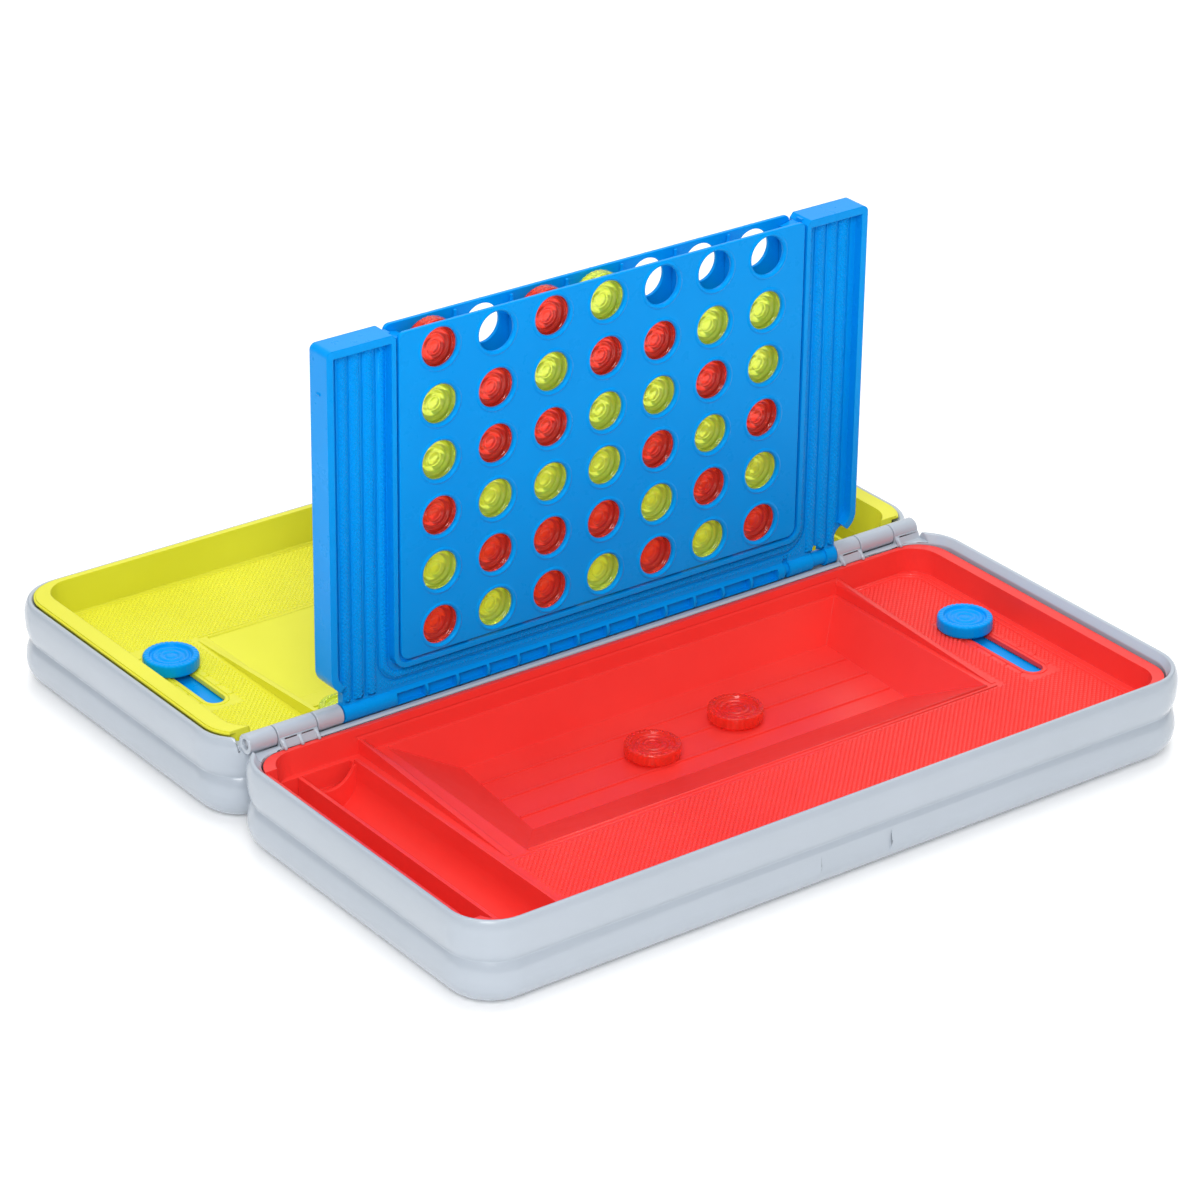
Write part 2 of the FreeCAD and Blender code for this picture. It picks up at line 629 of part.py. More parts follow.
def build_knob(label, knob_y, rear):
    body = new_body(label)
    r, stem = dim.knob_dia / 2, dim.stem_dia / 2
    high, low = dim.knob_top, dim.knob_top - dim.knob_thick
    pin, stem_low = stem - 1.4, dim.plate_top + 0.04
    # the lower face is plain; a stem goes down to the plate and a pin through it
    points = [(0, 13.5), (pin, 13.5), (pin, stem_low), (stem, stem_low), (stem, low),
              (r - EDGE_CHAMFER, low)] + disc_profile(r, low, high, 0.7)[8:]
    revolve(body, draw(body, XZ, label + "_sk", 0, points), "V_Axis", label + "_turned")
    if rear:
        place(body, -dim.slot_x, knob_y, 0, HALF_TURN)
    else:
        place(body, dim.slot_x, -knob_y, 0, Rotation())
    return body


# ---------------------------------------------------------------------------
# Hinge pins
# ---------------------------------------------------------------------------

def build_pin(label, sign):
    """Turned rod with a small chamfer at both ends, drawn about its own axis."""
    body = new_body(label)
    x0, x1, r = dim.pin_reach, dim.hinge_end - 0.8, dim.pin_rad
    chamfer = 0.3
    points = [(x0, 0), (x1, 0), (x1, r - chamfer), (x1 - chamfer, r),
              (x0 + chamfer, r), (x0, r - chamfer)]
    points = [(x * sign, z) for x, z in points]
    revolve(body, draw(body, XZ, label + "_sk", 0, points), "H_Axis", label + "_rod")
    place(body, 0, 0, dim.axis_z, Rotation())
    return body


# ---------------------------------------------------------------------------
# Game grid: frame with end blocks, foot and barrel; front and rear panels
# ---------------------------------------------------------------------------

grid_mid = dim.grid_thick / 2          # front and rear faces are this far from y = 0
cradle_floor = dim.panel_low - 0.9
CRADLE_RAD = 3.4                       # inner corners of the cradle
CRADLE_TOP = 71
POST_IN = 70.1
CELL_COUNT = 13
CELL_START = -74.7
# name, x from, x to, radius left in the barrel
BARREL_NECKS = [("slot", 72.2, 74.2, 2.2), ("neck", 83.6, 89.2, 2.45)]
GROOVES = [(94.25, 39.6), (89.7, 32.2), (85.0, 32.2)]  # x, lower end z
U_GROOVE_X, U_GROOVE_Z, U_GROOVE_RAD = 80.5, 34.0, 8.0
GROOVE_HALF = 0.3
GROOVE_DEEP = 0.45
NUB = [(-0.3, 131.4), (0.45, 132.3), (-0.3, 133.2)]    # x past the outer edge, z


def add_frame_web(body):
    """Thin web with the curved foot."""
    half, top, foot = dim.grid_half, dim.grid_top, dim.foot_half
    right = [(foot, dim.axis_z), (foot, 33.6), (95.6, 37.7), (half, 43.6),
             (half, top - 2.4), (half - 2.0, top - 0.4)]
    arcs = {1: (93.55, 36.1), 2: (97.95, 40.0), 4: (98.2, 145.43)}
    points = right + [(-Expr.of(x), z) for x, z in reversed(right)]
    last = 2 * len(right) - 2
    arcs.update({last - i: (-x, z) for i, (x, z) in list(arcs.items())})
    web = draw(body, XZ, "frame_web_sk", -dim.web_thick / 2, points, arcs)
    pad(body, web, dim.web_thick, "frame_web")


def add_frame_rims(body):
    """Full thickness outer rims and caps."""
    half, top = dim.grid_half, dim.grid_top
    inner = dim.cradle_in
    outer = inner + dim.cradle_wall
    cap, rim = top - dim.cap_high, half - dim.rim_wall
    points = [(95.6, 37.7), (half, 43.6), (half, top - 2.0), (half - 2.0, top),
              (inner + 1.3, top), (inner, top - 1.5), (inner, 70), (outer, 70),
              (outer, cap), (rim, cap), (rim, 44.2), (94.0, 39.3)]
    arcs = {0: (97.95, 40.0), 2: (98.17, 145.83), 10: (95.9, 41.3)}
    for side, sign in SIDES:
        sketch = draw(body, XZ, "frame_rim_%s_sk" % side, -grid_mid,
                      [(x * sign, z) for x, z in points],
                      {i: (x * sign, z) for i, (x, z) in arcs.items()})
        pad(body, sketch, grid_mid * 2, "frame_rim_" + side)


def add_frame_cradle(body):
    """U shaped cradle that holds both panels, with its window, groove and posts."""
    inner, wall, top = dim.cradle_in, dim.cradle_wall, dim.grid_top
    cradle = new_sketch(body, XZ, "frame_u_sk", -grid_mid)
    u_band(cradle, (inner, cradle_floor, CRADLE_RAD),
           (inner + wall, cradle_floor - wall, wall + CRADLE_RAD), CRADLE_TOP)
    pad(body, cradle, grid_mid * 2, "frame_u")
    doc.recompute()
    # open the web between the cradle walls
    points = ([(inner, top + 2)] + u_turn(inner, cradle_floor, CRADLE_RAD)
              + [(-inner, top + 2)])
    arcs = {1: bend(inner, cradle_floor, -CRADLE_RAD, CRADLE_RAD),
            3: bend(-inner, cradle_floor, CRADLE_RAD, CRADLE_RAD)}
    window = draw(body, XZ, "frame_window_sk", -6, points, arcs)
    cut(body, window, 12, "frame_window", along=True)
    # groove in the cradle floor for the bar of the dividers
    bar = dim.comb_half + 0.2
    groove = draw(body, XZ, "frame_comb_groove_sk", -dim.comb_thick / 2 - 0.1,
                  box(-bar, bar, dim.comb_low - 0.05, cradle_floor + 1.0))
    cut(body, groove, dim.comb_thick + 0.2, "frame_comb_groove", along=True)
    # end posts inside the cradle, beside the outermost columns
    post_half = grid_mid - dim.panel_thick - 0.15
    low, high = cradle_floor - 0.3, dim.divider_top
    for side, sign in SIDES:
        x0, x1 = POST_IN * sign, (inner + 0.3) * sign
        post = draw(body, XZ, "frame_post_%s_sk" % side, -post_half,
                    [(x0, low), (x1, low), (x1, high + 1.2), (x0, high + 0.2)])
        pad(body, post, post_half * 2, "frame_post_" + side)


def add_frame_barrel(body):
    """Hinge barrel with cored cells in its front and two turned-down lengths."""
    axis = dim.axis_z
    barrel = draw_circle(body, YZ, "frame_barrel_sk", -dim.barrel_half, 0, axis,
                         dim.knuckle_rad)
    pad(body, barrel, dim.barrel_half * 2, "frame_barrel")
    doc.recompute()
    cells = new_sketch(body, XZ, "frame_cells_sk", 0.5)
    cell_half = dim.cell_high / 2
    for i in range(CELL_COUNT):
        x = dim.cell_pitch * i + CELL_START
        outline(cells, box(x, x + dim.cell_pitch - dim.cell_gap,
                           axis - cell_half, axis + cell_half))
    cut(body, cells, 6, "frame_cells", along=True)
    for name, x0, x1, radius in BARREL_NECKS:
        ring = draw_circle(body, YZ, "frame_%s_sk" % name, x0, 0, axis, 5.2)
        circle(ring, 0, axis, radius)
        cut(body, ring, x1 - x0, "frame_" + name, along=True)
        doc.recompute()


def cut_frame_grooves(body):
    """Grooves in both faces of the web, beside and under the panels."""
    past = 2  # the cut runs this far out from the face
    face_y = dim.web_thick / 2
    top = dim.grid_top - 2.6
    half = GROOVE_HALF
    for face, offset in (("front", face_y - GROOVE_DEEP), ("rear", -face_y - past)):
        sketch = new_sketch(body, XZ, "frame_grooves_%s_sk" % face, offset)
        for x, low in GROOVES:
            for sign in (1, -1):
                outline(sketch, box(x * sign - half, x * sign + half, low, top))
        # the innermost groove turns and runs under the panels
        u_band(sketch,
               (U_GROOVE_X - half, U_GROOVE_Z + half, U_GROOVE_RAD - half),
               (U_GROOVE_X + half, U_GROOVE_Z - half, U_GROOVE_RAD + half), top)
        cut(body, sketch, past + GROOVE_DEEP, "frame_grooves_" + face, along=True)


def build_frame():
    body = new_body("grid_frame")
    add_frame_web(body)
    add_frame_rims(body)
    add_frame_cradle(body)
    add_frame_barrel(body)
    cut_frame_grooves(body)
    bore_starts = {"right": dim.pin_reach - 0.6, "left": -dim.barrel_half - 1}
    for side, start in bore_starts.items():
        bore = draw_circle(body, YZ, "frame_bore_%s_sk" % side, start, 0, dim.axis_z,
                           dim.bore_rad)
        cut(body, bore, dim.barrel_half + 1.6 - dim.pin_reach, "frame_bore_" + side,
            along=True)
    # small snap nubs on the outer edges
    for side, sign in SIDES:
        nub = draw(body, XZ, "frame_nub_%s_sk" % side, -0.8,
                   [((dim.grid_half + x) * sign, z) for x, z in NUB])
        pad(body, nub, 1.6, "frame_nub_" + side)
    return finish(body)


def build_panel(label, rear):
    body = new_body(label)
    half, low, top = dim.panel_half, dim.panel_low, dim.grid_top
    thick = dim.panel_thick
    low_rad, top_rad = 3.0, 2.0
    offset = -grid_mid if rear else grid_mid - thick
    points = [(half - low_rad, low), (half, low + low_rad), (half, top - top_rad),
              (half - top_rad, top), (-half + top_rad, top), (-half, top - top_rad),
              (-half, low + low_rad), (-half + low_rad, low)]
    arcs = {0: bend(half, low, -low_rad, low_rad), 2: bend(half, top, -top_rad, -top_rad),
            4: bend(-half, top, top_rad, -top_rad), 6: bend(-half, low, low_rad, low_rad)}
    pad(body, draw(body, XZ, label + "_sk", offset, points, arcs), thick, label + "_plate")
    doc.recompute()
    # one hole, repeated over the seven columns and six rows
    sketch = draw_circle(body, XZ, label + "_hole_sk", offset - 1, -dim.pitch_x * 3,
                         dim.row_low, dim.hole_rad)
    hole = cut(body, sketch, thick + 2, label + "_hole", along=True)
    holes = body.newObject("PartDesign::MultiTransform", label + "_holes")
    holes.Originals = [hole]
    body.Tip = holes
    patterns = []
    for axis, pitch, number in (("X", dim.pitch_x, 7), ("Z", dim.pitch_z, 6)):
        length = pitch * (number - 1)
        pattern = body.newObject("PartDesign::LinearPattern",
                                 "%s_along_%s" % (label, axis.lower()))
        pattern.Direction = (origin_feature(body, axis + "_Axis"), [""])
        pattern.Length = length.value
        pattern.setExpression("Length", length.text)
        pattern.Occurrences = number
        patterns.append(pattern)
    holes.Transformations = patterns
    body.Tip = holes
    doc.recompute()
    return finish(body)


def build_dividers():
    """Six dividers on one thin bar, standing in a groove of the frame."""
    body = new_body("column_dividers")
    half, thick = dim.comb_half, dim.comb_thick
    bar, top = dim.comb_bar_top, dim.divider_top
    wall = dim.divider / 2
    centres = [(i - 2.5) * dim.pitch_x for i in range(6)]
    points = [(-half, dim.comb_low), (half, dim.comb_low), (half, bar)]
    for x in reversed(centres):
        points += [(x + wall, bar), (x + wall, top), (x - wall, top), (x - wall, bar)]
    points += [(-half, bar)]
    pad(body, draw(body, XZ, "comb_sk", -thick / 2, points), thick, "comb_plate")
    # each divider ends in a thin tongue against the rear panel
    tongues = new_sketch(body, XZ, "comb_tongue_sk", -thick / 2)
    for x in centres:
        outline(tongues, box(x - 0.5, x + 0.5, top - 0.5, dim.grid_top - 0.7))
    pad(body, tongues, 0.9, "comb_tongues")
    return finish(body)


# ---------------------------------------------------------------------------
# Checkers: one turned shape, placed in the columns and in the tray basins
# ---------------------------------------------------------------------------

COLORS = {"R": "red", "Y": "yellow"}
# columns left to right, each written from the bottom cell upwards
COLUMNS = ["RYRYYR", "YRYRR", "RRYRYR", "YRYYRY", "RYRYR", "YRYRY", "RYRYY"]
# kind, x, y of the checkers lying in the basins
LOOSE = [("R", -6.6, -38.6), ("R", 28.0, -34.9), ("Y", -68.0, 34.6), ("Y", -20.0, 40.0)]


def build_checker(label, x, y, z, flat):
    body = new_body(label)
    half = dim.checker_thick / 2
    points = disc_profile(dim.checker_dia / 2, -half, half, 0.75)
    revolve(body, draw(body, XZ, label + "_sk", 0, points), "V_Axis", label + "_turned")
    place(body, x, y, z, Rotation() if flat else Rotation(Vector(1, 0, 0), 90))
    return body


def build_checkers():
    places = []
    radius = dim.checker_dia / 2
    for column, cells in enumerate(COLUMNS):
        for level, kind in enumerate(cells):
            z = (dim.panel_low - 0.88 + radius
                 + (dim.checker_dia + dim.checker_gap) * level)
            places.append((kind, dim.pitch_x * (column - 3), 0, z, False))
    rest = dim.basin_z + dim.rib_high + dim.checker_thick / 2 + 0.03
    places += [(kind, x, y, rest, True) for kind, x, y in LOOSE]
    count = {"R": 0, "Y": 0}
    checkers = []
    for kind, *where in places:
        count[kind] += 1
        label = "%s_checker_%02d" % (COLORS[kind], count[kind])
        checkers.append(build_checker(label, *where))
    return checkers


# ---------------------------------------------------------------------------
# Build, check and write
# ---------------------------------------------------------------------------

pieces = [
    build_shell("red_case_shell", rear=False),
    build_shell("yellow_case_shell", rear=True),
    build_tray("red_tray", lip=False, rear=False),
    build_tray("yellow_tray", lip=True, rear=True),
    build_plate("red_score_slider", dim.red_knob_y, rear=False),
    build_knob("red_score_knob", dim.red_knob_y, rear=False),
    build_plate("yellow_score_slider", dim.yellow_knob_y, rear=True),
    build_knob("yellow_score_knob", dim.yellow_knob_y, rear=True),
    build_pin("hinge_pin_left", -1),
    build_pin("hinge_pin_right", 1),
    build_frame(),
    build_panel("grid_front_panel", rear=False),
    build_panel("grid_rear_panel", rear=True),
    build_dividers(),
] + build_checkers()

doc.recompute()
for item in doc.Objects:
    if "Invalid" in item.State or "Error" in item.State:
        raise RuntimeError("%s failed: %s" % (item.Label, item.State))
os.makedirs("parts", exist_ok=True)
for piece in pieces:
    shape = piece.Shape
    if shape.isNull() or not shape.isValid() or len(shape.Solids) != 1:
        raise RuntimeError("%s has a bad shape" % piece.Label)
for piece in pieces:
    piece.Shape.exportStep("parts/%s.step" % piece.Label)
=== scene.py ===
"""Four-in-a-row travel game, opened on the table.

The blue grid (7 columns, 6 rows) stands in the middle, with its columns spread along X and its
faces looking along -Y (front) and +Y (rear). The red case half lies in front, the yellow half
behind it; the yellow half is the red one turned half a turn about Z. Z is up.
Lengths are millimetres unless a name or comment says otherwise; meshes are written in metres.
"""
import json
import math

import bmesh
import bpy
from mathutils import Matrix, Vector


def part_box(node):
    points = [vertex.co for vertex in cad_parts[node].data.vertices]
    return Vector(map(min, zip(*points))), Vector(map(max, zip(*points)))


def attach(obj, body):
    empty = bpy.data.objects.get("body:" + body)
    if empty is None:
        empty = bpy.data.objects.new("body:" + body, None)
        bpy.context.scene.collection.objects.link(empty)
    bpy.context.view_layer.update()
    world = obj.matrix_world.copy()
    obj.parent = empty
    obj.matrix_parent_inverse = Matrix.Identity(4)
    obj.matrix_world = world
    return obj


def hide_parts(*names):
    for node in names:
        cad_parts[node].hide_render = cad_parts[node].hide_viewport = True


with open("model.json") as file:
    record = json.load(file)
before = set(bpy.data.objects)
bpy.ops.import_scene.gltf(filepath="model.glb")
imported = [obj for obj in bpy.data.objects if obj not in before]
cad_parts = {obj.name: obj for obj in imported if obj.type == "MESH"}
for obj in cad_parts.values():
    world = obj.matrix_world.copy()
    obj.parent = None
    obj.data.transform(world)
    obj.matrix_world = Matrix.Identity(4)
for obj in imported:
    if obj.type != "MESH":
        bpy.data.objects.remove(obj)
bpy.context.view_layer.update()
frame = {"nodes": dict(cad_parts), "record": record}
NODES = frame["nodes"]
SLOT = {part["node"]: part["material_slot"] for part in frame["record"]["subparts"]}
BODY = {node: body for body, nodes in frame["record"]["behaviour"]["bodies"].items()
        for node in nodes}
MM = 0.001
scene = bpy.context.scene


# ---------------------------------------------------------------------------
# shader helpers
# ---------------------------------------------------------------------------

def wire(tree, node, inputs):
    """Fill a node's inputs: an output socket is linked, anything else is set as a value."""
    for key, value in inputs.items():
        if isinstance(value, bpy.types.NodeSocket):
            tree.links.new(value, node.inputs[key])
        else:
            node.inputs[key].default_value = value


def add_node(tree, kind, inputs=None):
    node = tree.nodes.new("ShaderNode" + kind)
    wire(tree, node, inputs or {})
    return node


def noise(tree, vector, scale, detail=2.0, roughness=0.5):
    node = add_node(tree, "TexNoise", {"Vector": vector, "Scale": scale, "Detail": detail,
                                       "Roughness": roughness})
    return node.outputs["Fac"]


def colour_ramp(tree, factor, start, end):
    """Blend between two stops, each (position, rgb)."""
    node = add_node(tree, "ValToRGB", {"Fac": factor})
    for element, (position, rgb) in zip(node.color_ramp.elements, (start, end)):
        element.position = position
        element.color = (*rgb, 1)
    return node.outputs["Color"]


def rescale(tree, value, to_range, from_range=(0.0, 1.0)):
    node = add_node(tree, "MapRange", {
        "Value": value,
        "From Min": from_range[0], "From Max": from_range[1],
        "To Min": to_range[0], "To Max": to_range[1]})
    return node.outputs[0]


def stretched(tree, vector, scale, rotation=(0, 0, 0)):
    node = add_node(tree, "Mapping", {"Vector": vector, "Scale": scale, "Rotation": rotation})
    return node.outputs[0]


def new_material(name):
    """Material with a lone Principled surface; gives the material, its tree and the surface."""
    material = bpy.data.materials.new(name)
    material.use_nodes = True
    tree = material.node_tree
    tree.nodes.clear()
    output = add_node(tree, "OutputMaterial")
    surface = add_node(tree, "BsdfPrincipled")
    tree.links.new(surface.outputs[0], output.inputs[0])
    return material, tree, surface


def object_coords(tree):
    return add_node(tree, "TexCoord").outputs["Object"]


# ---------------------------------------------------------------------------
# materials
# ---------------------------------------------------------------------------

def with_flakes(tree, coords, base, amount):
    """Sprinkle pale specks, one strength per tiny Voronoi cell, over a base colour."""
    cells = add_node(tree, "TexVoronoi", {"Vector": coords, "Scale": 3800.0})
    channels = add_node(tree, "SeparateColor", {0: cells.outputs["Color"]})
    strength = rescale(tree, channels.outputs[0], (0.0, amount))
    mix = add_node(tree, "MixRGB", {0: strength, 1: base, 2: (0.93, 0.95, 0.98, 1)})
    return mix.outputs[0]


def plastic(name, deep, light, rough, coat, spec, sub=0.0, flake=0.0, edge=0.0, tint=None):
    """Moulded plastic: slight colour drift, uneven gloss, fine orange peel, hairline scuffs.

    deep and light bound the colour drift; edge is the radius of the shaded edge rounding.
    """
    material, tree, surface = new_material(name)
    coords = object_coords(tree)
    drift = noise(tree, coords, scale=22.0, detail=4.0)
    colour = colour_ramp(tree, drift, (0.30, deep), (0.72, light))
    if flake:
        colour = with_flakes(tree, coords, colour, flake)

    fine = noise(tree, coords, scale=160.0, detail=6.0, roughness=0.6)
    gloss = rescale(tree, fine, (rough * 0.93, rough * 1.09), from_range=(0.25, 0.75))
    # scuffs: stretched noise, of which only the peaks are kept
    streaks = stretched(tree, coords, (900.0, 60.0, 900.0), rotation=(0.2, 0.1, 0.7))
    scuffs = rescale(tree, noise(tree, streaks, scale=1.0), (0.0, 0.02), from_range=(0.70, 0.80))
    total = add_node(tree, "Math", {0: gloss, 1: scuffs})
    total.operation = "ADD"

    peel = add_node(tree, "Bump", {
        "Strength": 0.25, "Distance": 0.012 * MM,
        "Height": noise(tree, coords, scale=420.0, detail=3.0)})
    if edge:
        rounding = add_node(tree, "Bevel", {"Radius": edge * MM})
        rounding.samples = 6
        wire(tree, peel, {"Normal": rounding.outputs[0]})

    wire(tree, surface, {
        "Base Color": colour, "Roughness": total.outputs[0], "Normal": peel.outputs[0],
        "IOR": 1.49, "Specular IOR Level": spec, "Coat Weight": coat, "Coat Roughness": 0.08})
    if tint:
        wire(tree, surface, {"Specular Tint": (*tint, 1)})
    if sub:
        wire(tree, surface, {
            "Subsurface Weight": sub,
            "Subsurface Radius": tuple(channel + 0.05 for channel in light),
            "Subsurface Scale": 2.0 * MM})
    return material


def clear_plastic(name, deep, light):
    """See-through tinted plastic for the checkers, with a faint painted glow in their lighter
    tint.
    """
    material, tree, surface = new_material(name)
    coords = object_coords(tree)
    drift = noise(tree, coords, scale=120.0, detail=3.0)
    ripples = add_node(tree, "Bump", {
        "Strength": 0.08, "Distance": 0.01 * MM, "Height": noise(tree, coords, scale=500.0)})
    wire(tree, surface, {
        "Base Color": colour_ramp(tree, drift, (0.3, deep), (0.7, light)),
        "Roughness": rescale(tree, drift, (0.05, 0.16)),
        "Normal": ripples.outputs[0],
        "Transmission Weight": 0.72, "IOR": 1.34,
        "Coat Weight": 0.15, "Specular IOR Level": 0.45,
        # painted glow: the checkers give off a little light of their lighter tint
        "Emission Color": (*light, 1), "Emission Strength": 0.045,
        "Subsurface Weight": 0.20, "Subsurface Radius": (1.0, 0.8, 0.4),
        "Subsurface Scale": 2.5 * MM})
    return material


def steel(name):
    """Drawn wire: streaks along X in both tone and gloss."""
    material, tree, surface = new_material(name)
    grain_coords = stretched(tree, object_coords(tree), (80.0, 4000.0, 4000.0))
    grain = noise(tree, grain_coords, scale=1.0, detail=4.0)
    wire(tree, surface, {
        "Base Color": colour_ramp(tree, grain, (0.0, (0.42, 0.42, 0.44)),
                                  (1.0, (0.72, 0.72, 0.74))),
        "Roughness": rescale(tree, grain, (0.22, 0.42)),
        "Metallic": 1.0})
    return material


GREY = dict(deep=(0.40, 0.448, 0.505), light=(0.42, 0.468, 0.53),
            rough=0.24, flake=0.006, coat=0.35, spec=0.5)
TRAY_FINISH = dict(rough=0.34, sub=0.10, coat=0.03, spec=0.30)
RED = dict(deep=(0.82, 0.036, 0.030), light=(0.88, 0.050, 0.040), **TRAY_FINISH)
YELLOW = dict(deep=(0.70, 0.68, 0.030), light=(0.76, 0.74, 0.048), **TRAY_FINISH)
BLUE = dict(deep=(0.0002, 0.275, 0.775), light=(0.0004, 0.305, 0.82),
            rough=0.28, coat=0.0, spec=0.22, tint=(0.12, 0.72, 1.0))
SHADED_EDGE = 0.35

MATERIALS = {
    "case_grey": plastic("silver_grey_plastic", **GREY),
    "red": plastic("red_plastic", **RED),
    "yellow": plastic("yellow_plastic", **YELLOW),
    "red_tray": plastic("red_plastic_tray", **RED, edge=SHADED_EDGE),
    "yellow_tray": plastic("yellow_plastic_tray", **YELLOW, edge=SHADED_EDGE),
    "blue": plastic("blue_plastic", **BLUE),
    "blue_frame": plastic("blue_plastic_frame", **BLUE, edge=SHADED_EDGE),
    "clear_red": clear_plastic("clear_red_plastic", deep=(0.96, 0.05, 0.028),
                               light=(1.0, 0.085, 0.05)),
    "clear_yellow": clear_plastic("clear_yellow_plastic", deep=(0.77, 0.90, 0.08),
                                  light=(0.84, 0.96, 0.14)),
    "steel": steel("drawn_steel_wire"),
}

# CAD pieces whose edges are rounded in the shader, with the material that does it
SHADER_ROUNDED = {"red_tray": "red_tray", "yellow_tray": "yellow_tray",
                  "grid_frame": "blue_frame"}

for node, piece in NODES.items():
    piece.data.materials.clear()
    piece.data.materials.append(MATERIALS[SHADER_ROUNDED.get(node, SLOT[node])])


# ---------------------------------------------------------------------------
# rounded edges on the CAD pieces
# ---------------------------------------------------------------------------

EDGE_WIDTH = {
    "red_case_shell": 0.32, "yellow_case_shell": 0.32,
    "column_dividers": 0.2,
    "red_score_slider": 0.15, "yellow_score_slider": 0.15,
    "hinge_pin_left": 0.15, "hinge_pin_right": 0.15,
}


def weight_normals(piece):
    piece.modifiers.new("wn", "WEIGHTED_NORMAL").keep_sharp = False


def soften(piece, width):
    """Rounded moulded edges on a CAD solid."""
    piece.data.polygons.foreach_set("use_smooth", [True] * len(piece.data.polygons))
    weld = piece.modifiers.new("weld", "WELD")
    weld.merge_threshold = 2e-6
    bevel = piece.modifiers.new("round", "BEVEL")
    bevel.width = width * MM
    bevel.segments = 2
    bevel.limit_method = "ANGLE"
    bevel.angle_limit = math.radians(32.0)
    bevel.use_clamp_overlap = False
    bevel.miter_outer = "MITER_SHARP"
    weight_normals(piece)


for node, width in EDGE_WIDTH.items():
    soften(NODES[node], width)


# ---------------------------------------------------------------------------
# mesh helpers
# ---------------------------------------------------------------------------

def raw_mesh(name, verts, faces):
    mesh = bpy.data.meshes.new(name)
    mesh.from_pydata([(x * MM, y * MM, z * MM) for x, y, z in verts], [], faces)
    return mesh


def face_outwards(mesh):
    bm = bmesh.new()
    bm.from_mesh(mesh)
    bmesh.ops.recalc_face_normals(bm, faces=bm.faces)
    bm.to_mesh(mesh)
    bm.free()


def shade(mesh, slot, smooth=True):
    mesh.polygons.foreach_set("use_smooth", [smooth] * len(mesh.polygons))
    mesh.materials.append(MATERIALS[slot])


def make(name, verts, faces, slot, body, smooth=True, turn=False):
    """Object that rides on a body; turn gives it half a turn about Z."""
    if turn:
        verts = [(-x, -y, z) for x, y, z in verts]
    mesh = raw_mesh(name, verts, faces)
    shade(mesh, slot, smooth)
    face_outwards(mesh)
    piece = bpy.data.objects.new(name, mesh)
    scene.collection.objects.link(piece)
    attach(piece, body)
    return piece


def measure(node):
    """Centre and size of a CAD piece."""
    low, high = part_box(node)
    return (low + high) / 2 / MM, (high - low) / MM


def bridge(faces, rings, closed=False):
    """Quads between neighbouring rings of vertex indices."""
    following = rings[1:] + (rings[:1] if closed else [])
    for near, far in zip(rings, following):
        count = len(near)
        for k in range(count):
            after = (k + 1) % count
            faces.append((near[k], near[after], far[after], far[k]))


def sweep(verts, faces, sections, closed=False):
    """Solid through a row of equal sections; closed joins the last to the first."""
    rings = []
    for section in sections:
        rings.append(list(range(len(verts), len(verts) + len(section))))
        verts.extend(section)
    bridge(faces, rings, closed)
    if not closed:
        faces.append(tuple(rings[0]))
        faces.append(tuple(reversed(rings[-1])))


def relief(name, place, inside, u_range, v_range, cell, high, slot, body,
           base=0.02, deep=0.2, flat=0.32, turn=False):
    """Diamond texture: a closed sheet of blunt pyramids over every cell that lies inside.

    place(u, v, height) gives a point in space. base is the height of the pyramids' feet, high
    their own height, deep the sheet's underside and flat the inset of their tops in cells.
    """
    cos_turn, sin_turn = math.cos(math.radians(45.0)), math.sin(math.radians(45.0))
    mid_u, mid_v = (u_range[0] + u_range[1]) / 2, (v_range[0] + v_range[1]) / 2
    span = abs(u_range[1] - u_range[0]) + abs(v_range[1] - v_range[0])
    reach = int(span / cell * 0.75) + 3

    def uv(i, j):
        a, b = i * cell, j * cell
        return mid_u + a * cos_turn - b * sin_turn, mid_v + a * sin_turn + b * cos_turn

    cells = set()
    for i in range(-reach, reach):
        for j in range(-reach, reach):
            u, v = uv(i + 0.5, j + 0.5)
            in_range = u_range[0] <= u <= u_range[1] and v_range[0] <= v <= v_range[1]
            if in_range and inside(u, v):
                cells.add((i, j))

    verts, faces, known = [], [], {}

    def vertex(i, j, height):
        key = (i, j, height)
        if key not in known:
            known[key] = len(verts)
            verts.append(place(*uv(i, j), height))
        return known[key]

    for i, j in sorted(cells):
        top, low = [], []
        for a, b in ((0, 0), (1, 0), (1, 1), (0, 1)):
            top.append(vertex(i + a, j + b, base))
            low.append(vertex(i + a, j + b, -deep))
        near, far = flat, 1 - flat
        peak = [vertex(i + a, j + b, base + high)
                for a, b in ((near, near), (far, near), (far, far), (near, far))]
        bridge(faces, [top, peak])
        faces.append(tuple(peak))
        faces.append(tuple(reversed(low)))
        for k, (di, dj) in enumerate(((0, -1), (1, 0), (0, 1), (-1, 0))):
            if (i + di, j + dj) not in cells:
                after = (k + 1) % 4
                faces.append((top[k], low[k], low[after], top[after]))
    make(name, verts, faces, slot, body, smooth=False, turn=turn)


def arc(centre_x, centre_y, radius, start, end, steps=10):
    """Points along an arc, angles in degrees."""
    angles = [math.radians(start + (end - start) * k / steps) for k in range(steps + 1)]
    return [(centre_x + radius * math.cos(a), centre_y + radius * math.sin(a)) for a in angles]


# ---------------------------------------------------------------------------
# checkers and score knobs: turned discs with rings and a beaded rim
# ---------------------------------------------------------------------------

CHECKER_RADIUS = 8.8
CHECKER_HALF = 2.15          # half the checker's thickness
KNOB_HALF = 2.1              # knob top above the level its face profile is measured from
KNOB_HEIGHT = 4.2            # the knob's disc, from its top to its underside
TURNED_SEGMENTS = 160
BEADS = 32
BEAD_START = 6.95            # inner radius of the beads, on a disc of DISC_RADIUS
BEAD_LENGTH = 1.8
BEAD_DEPTH = 0.2

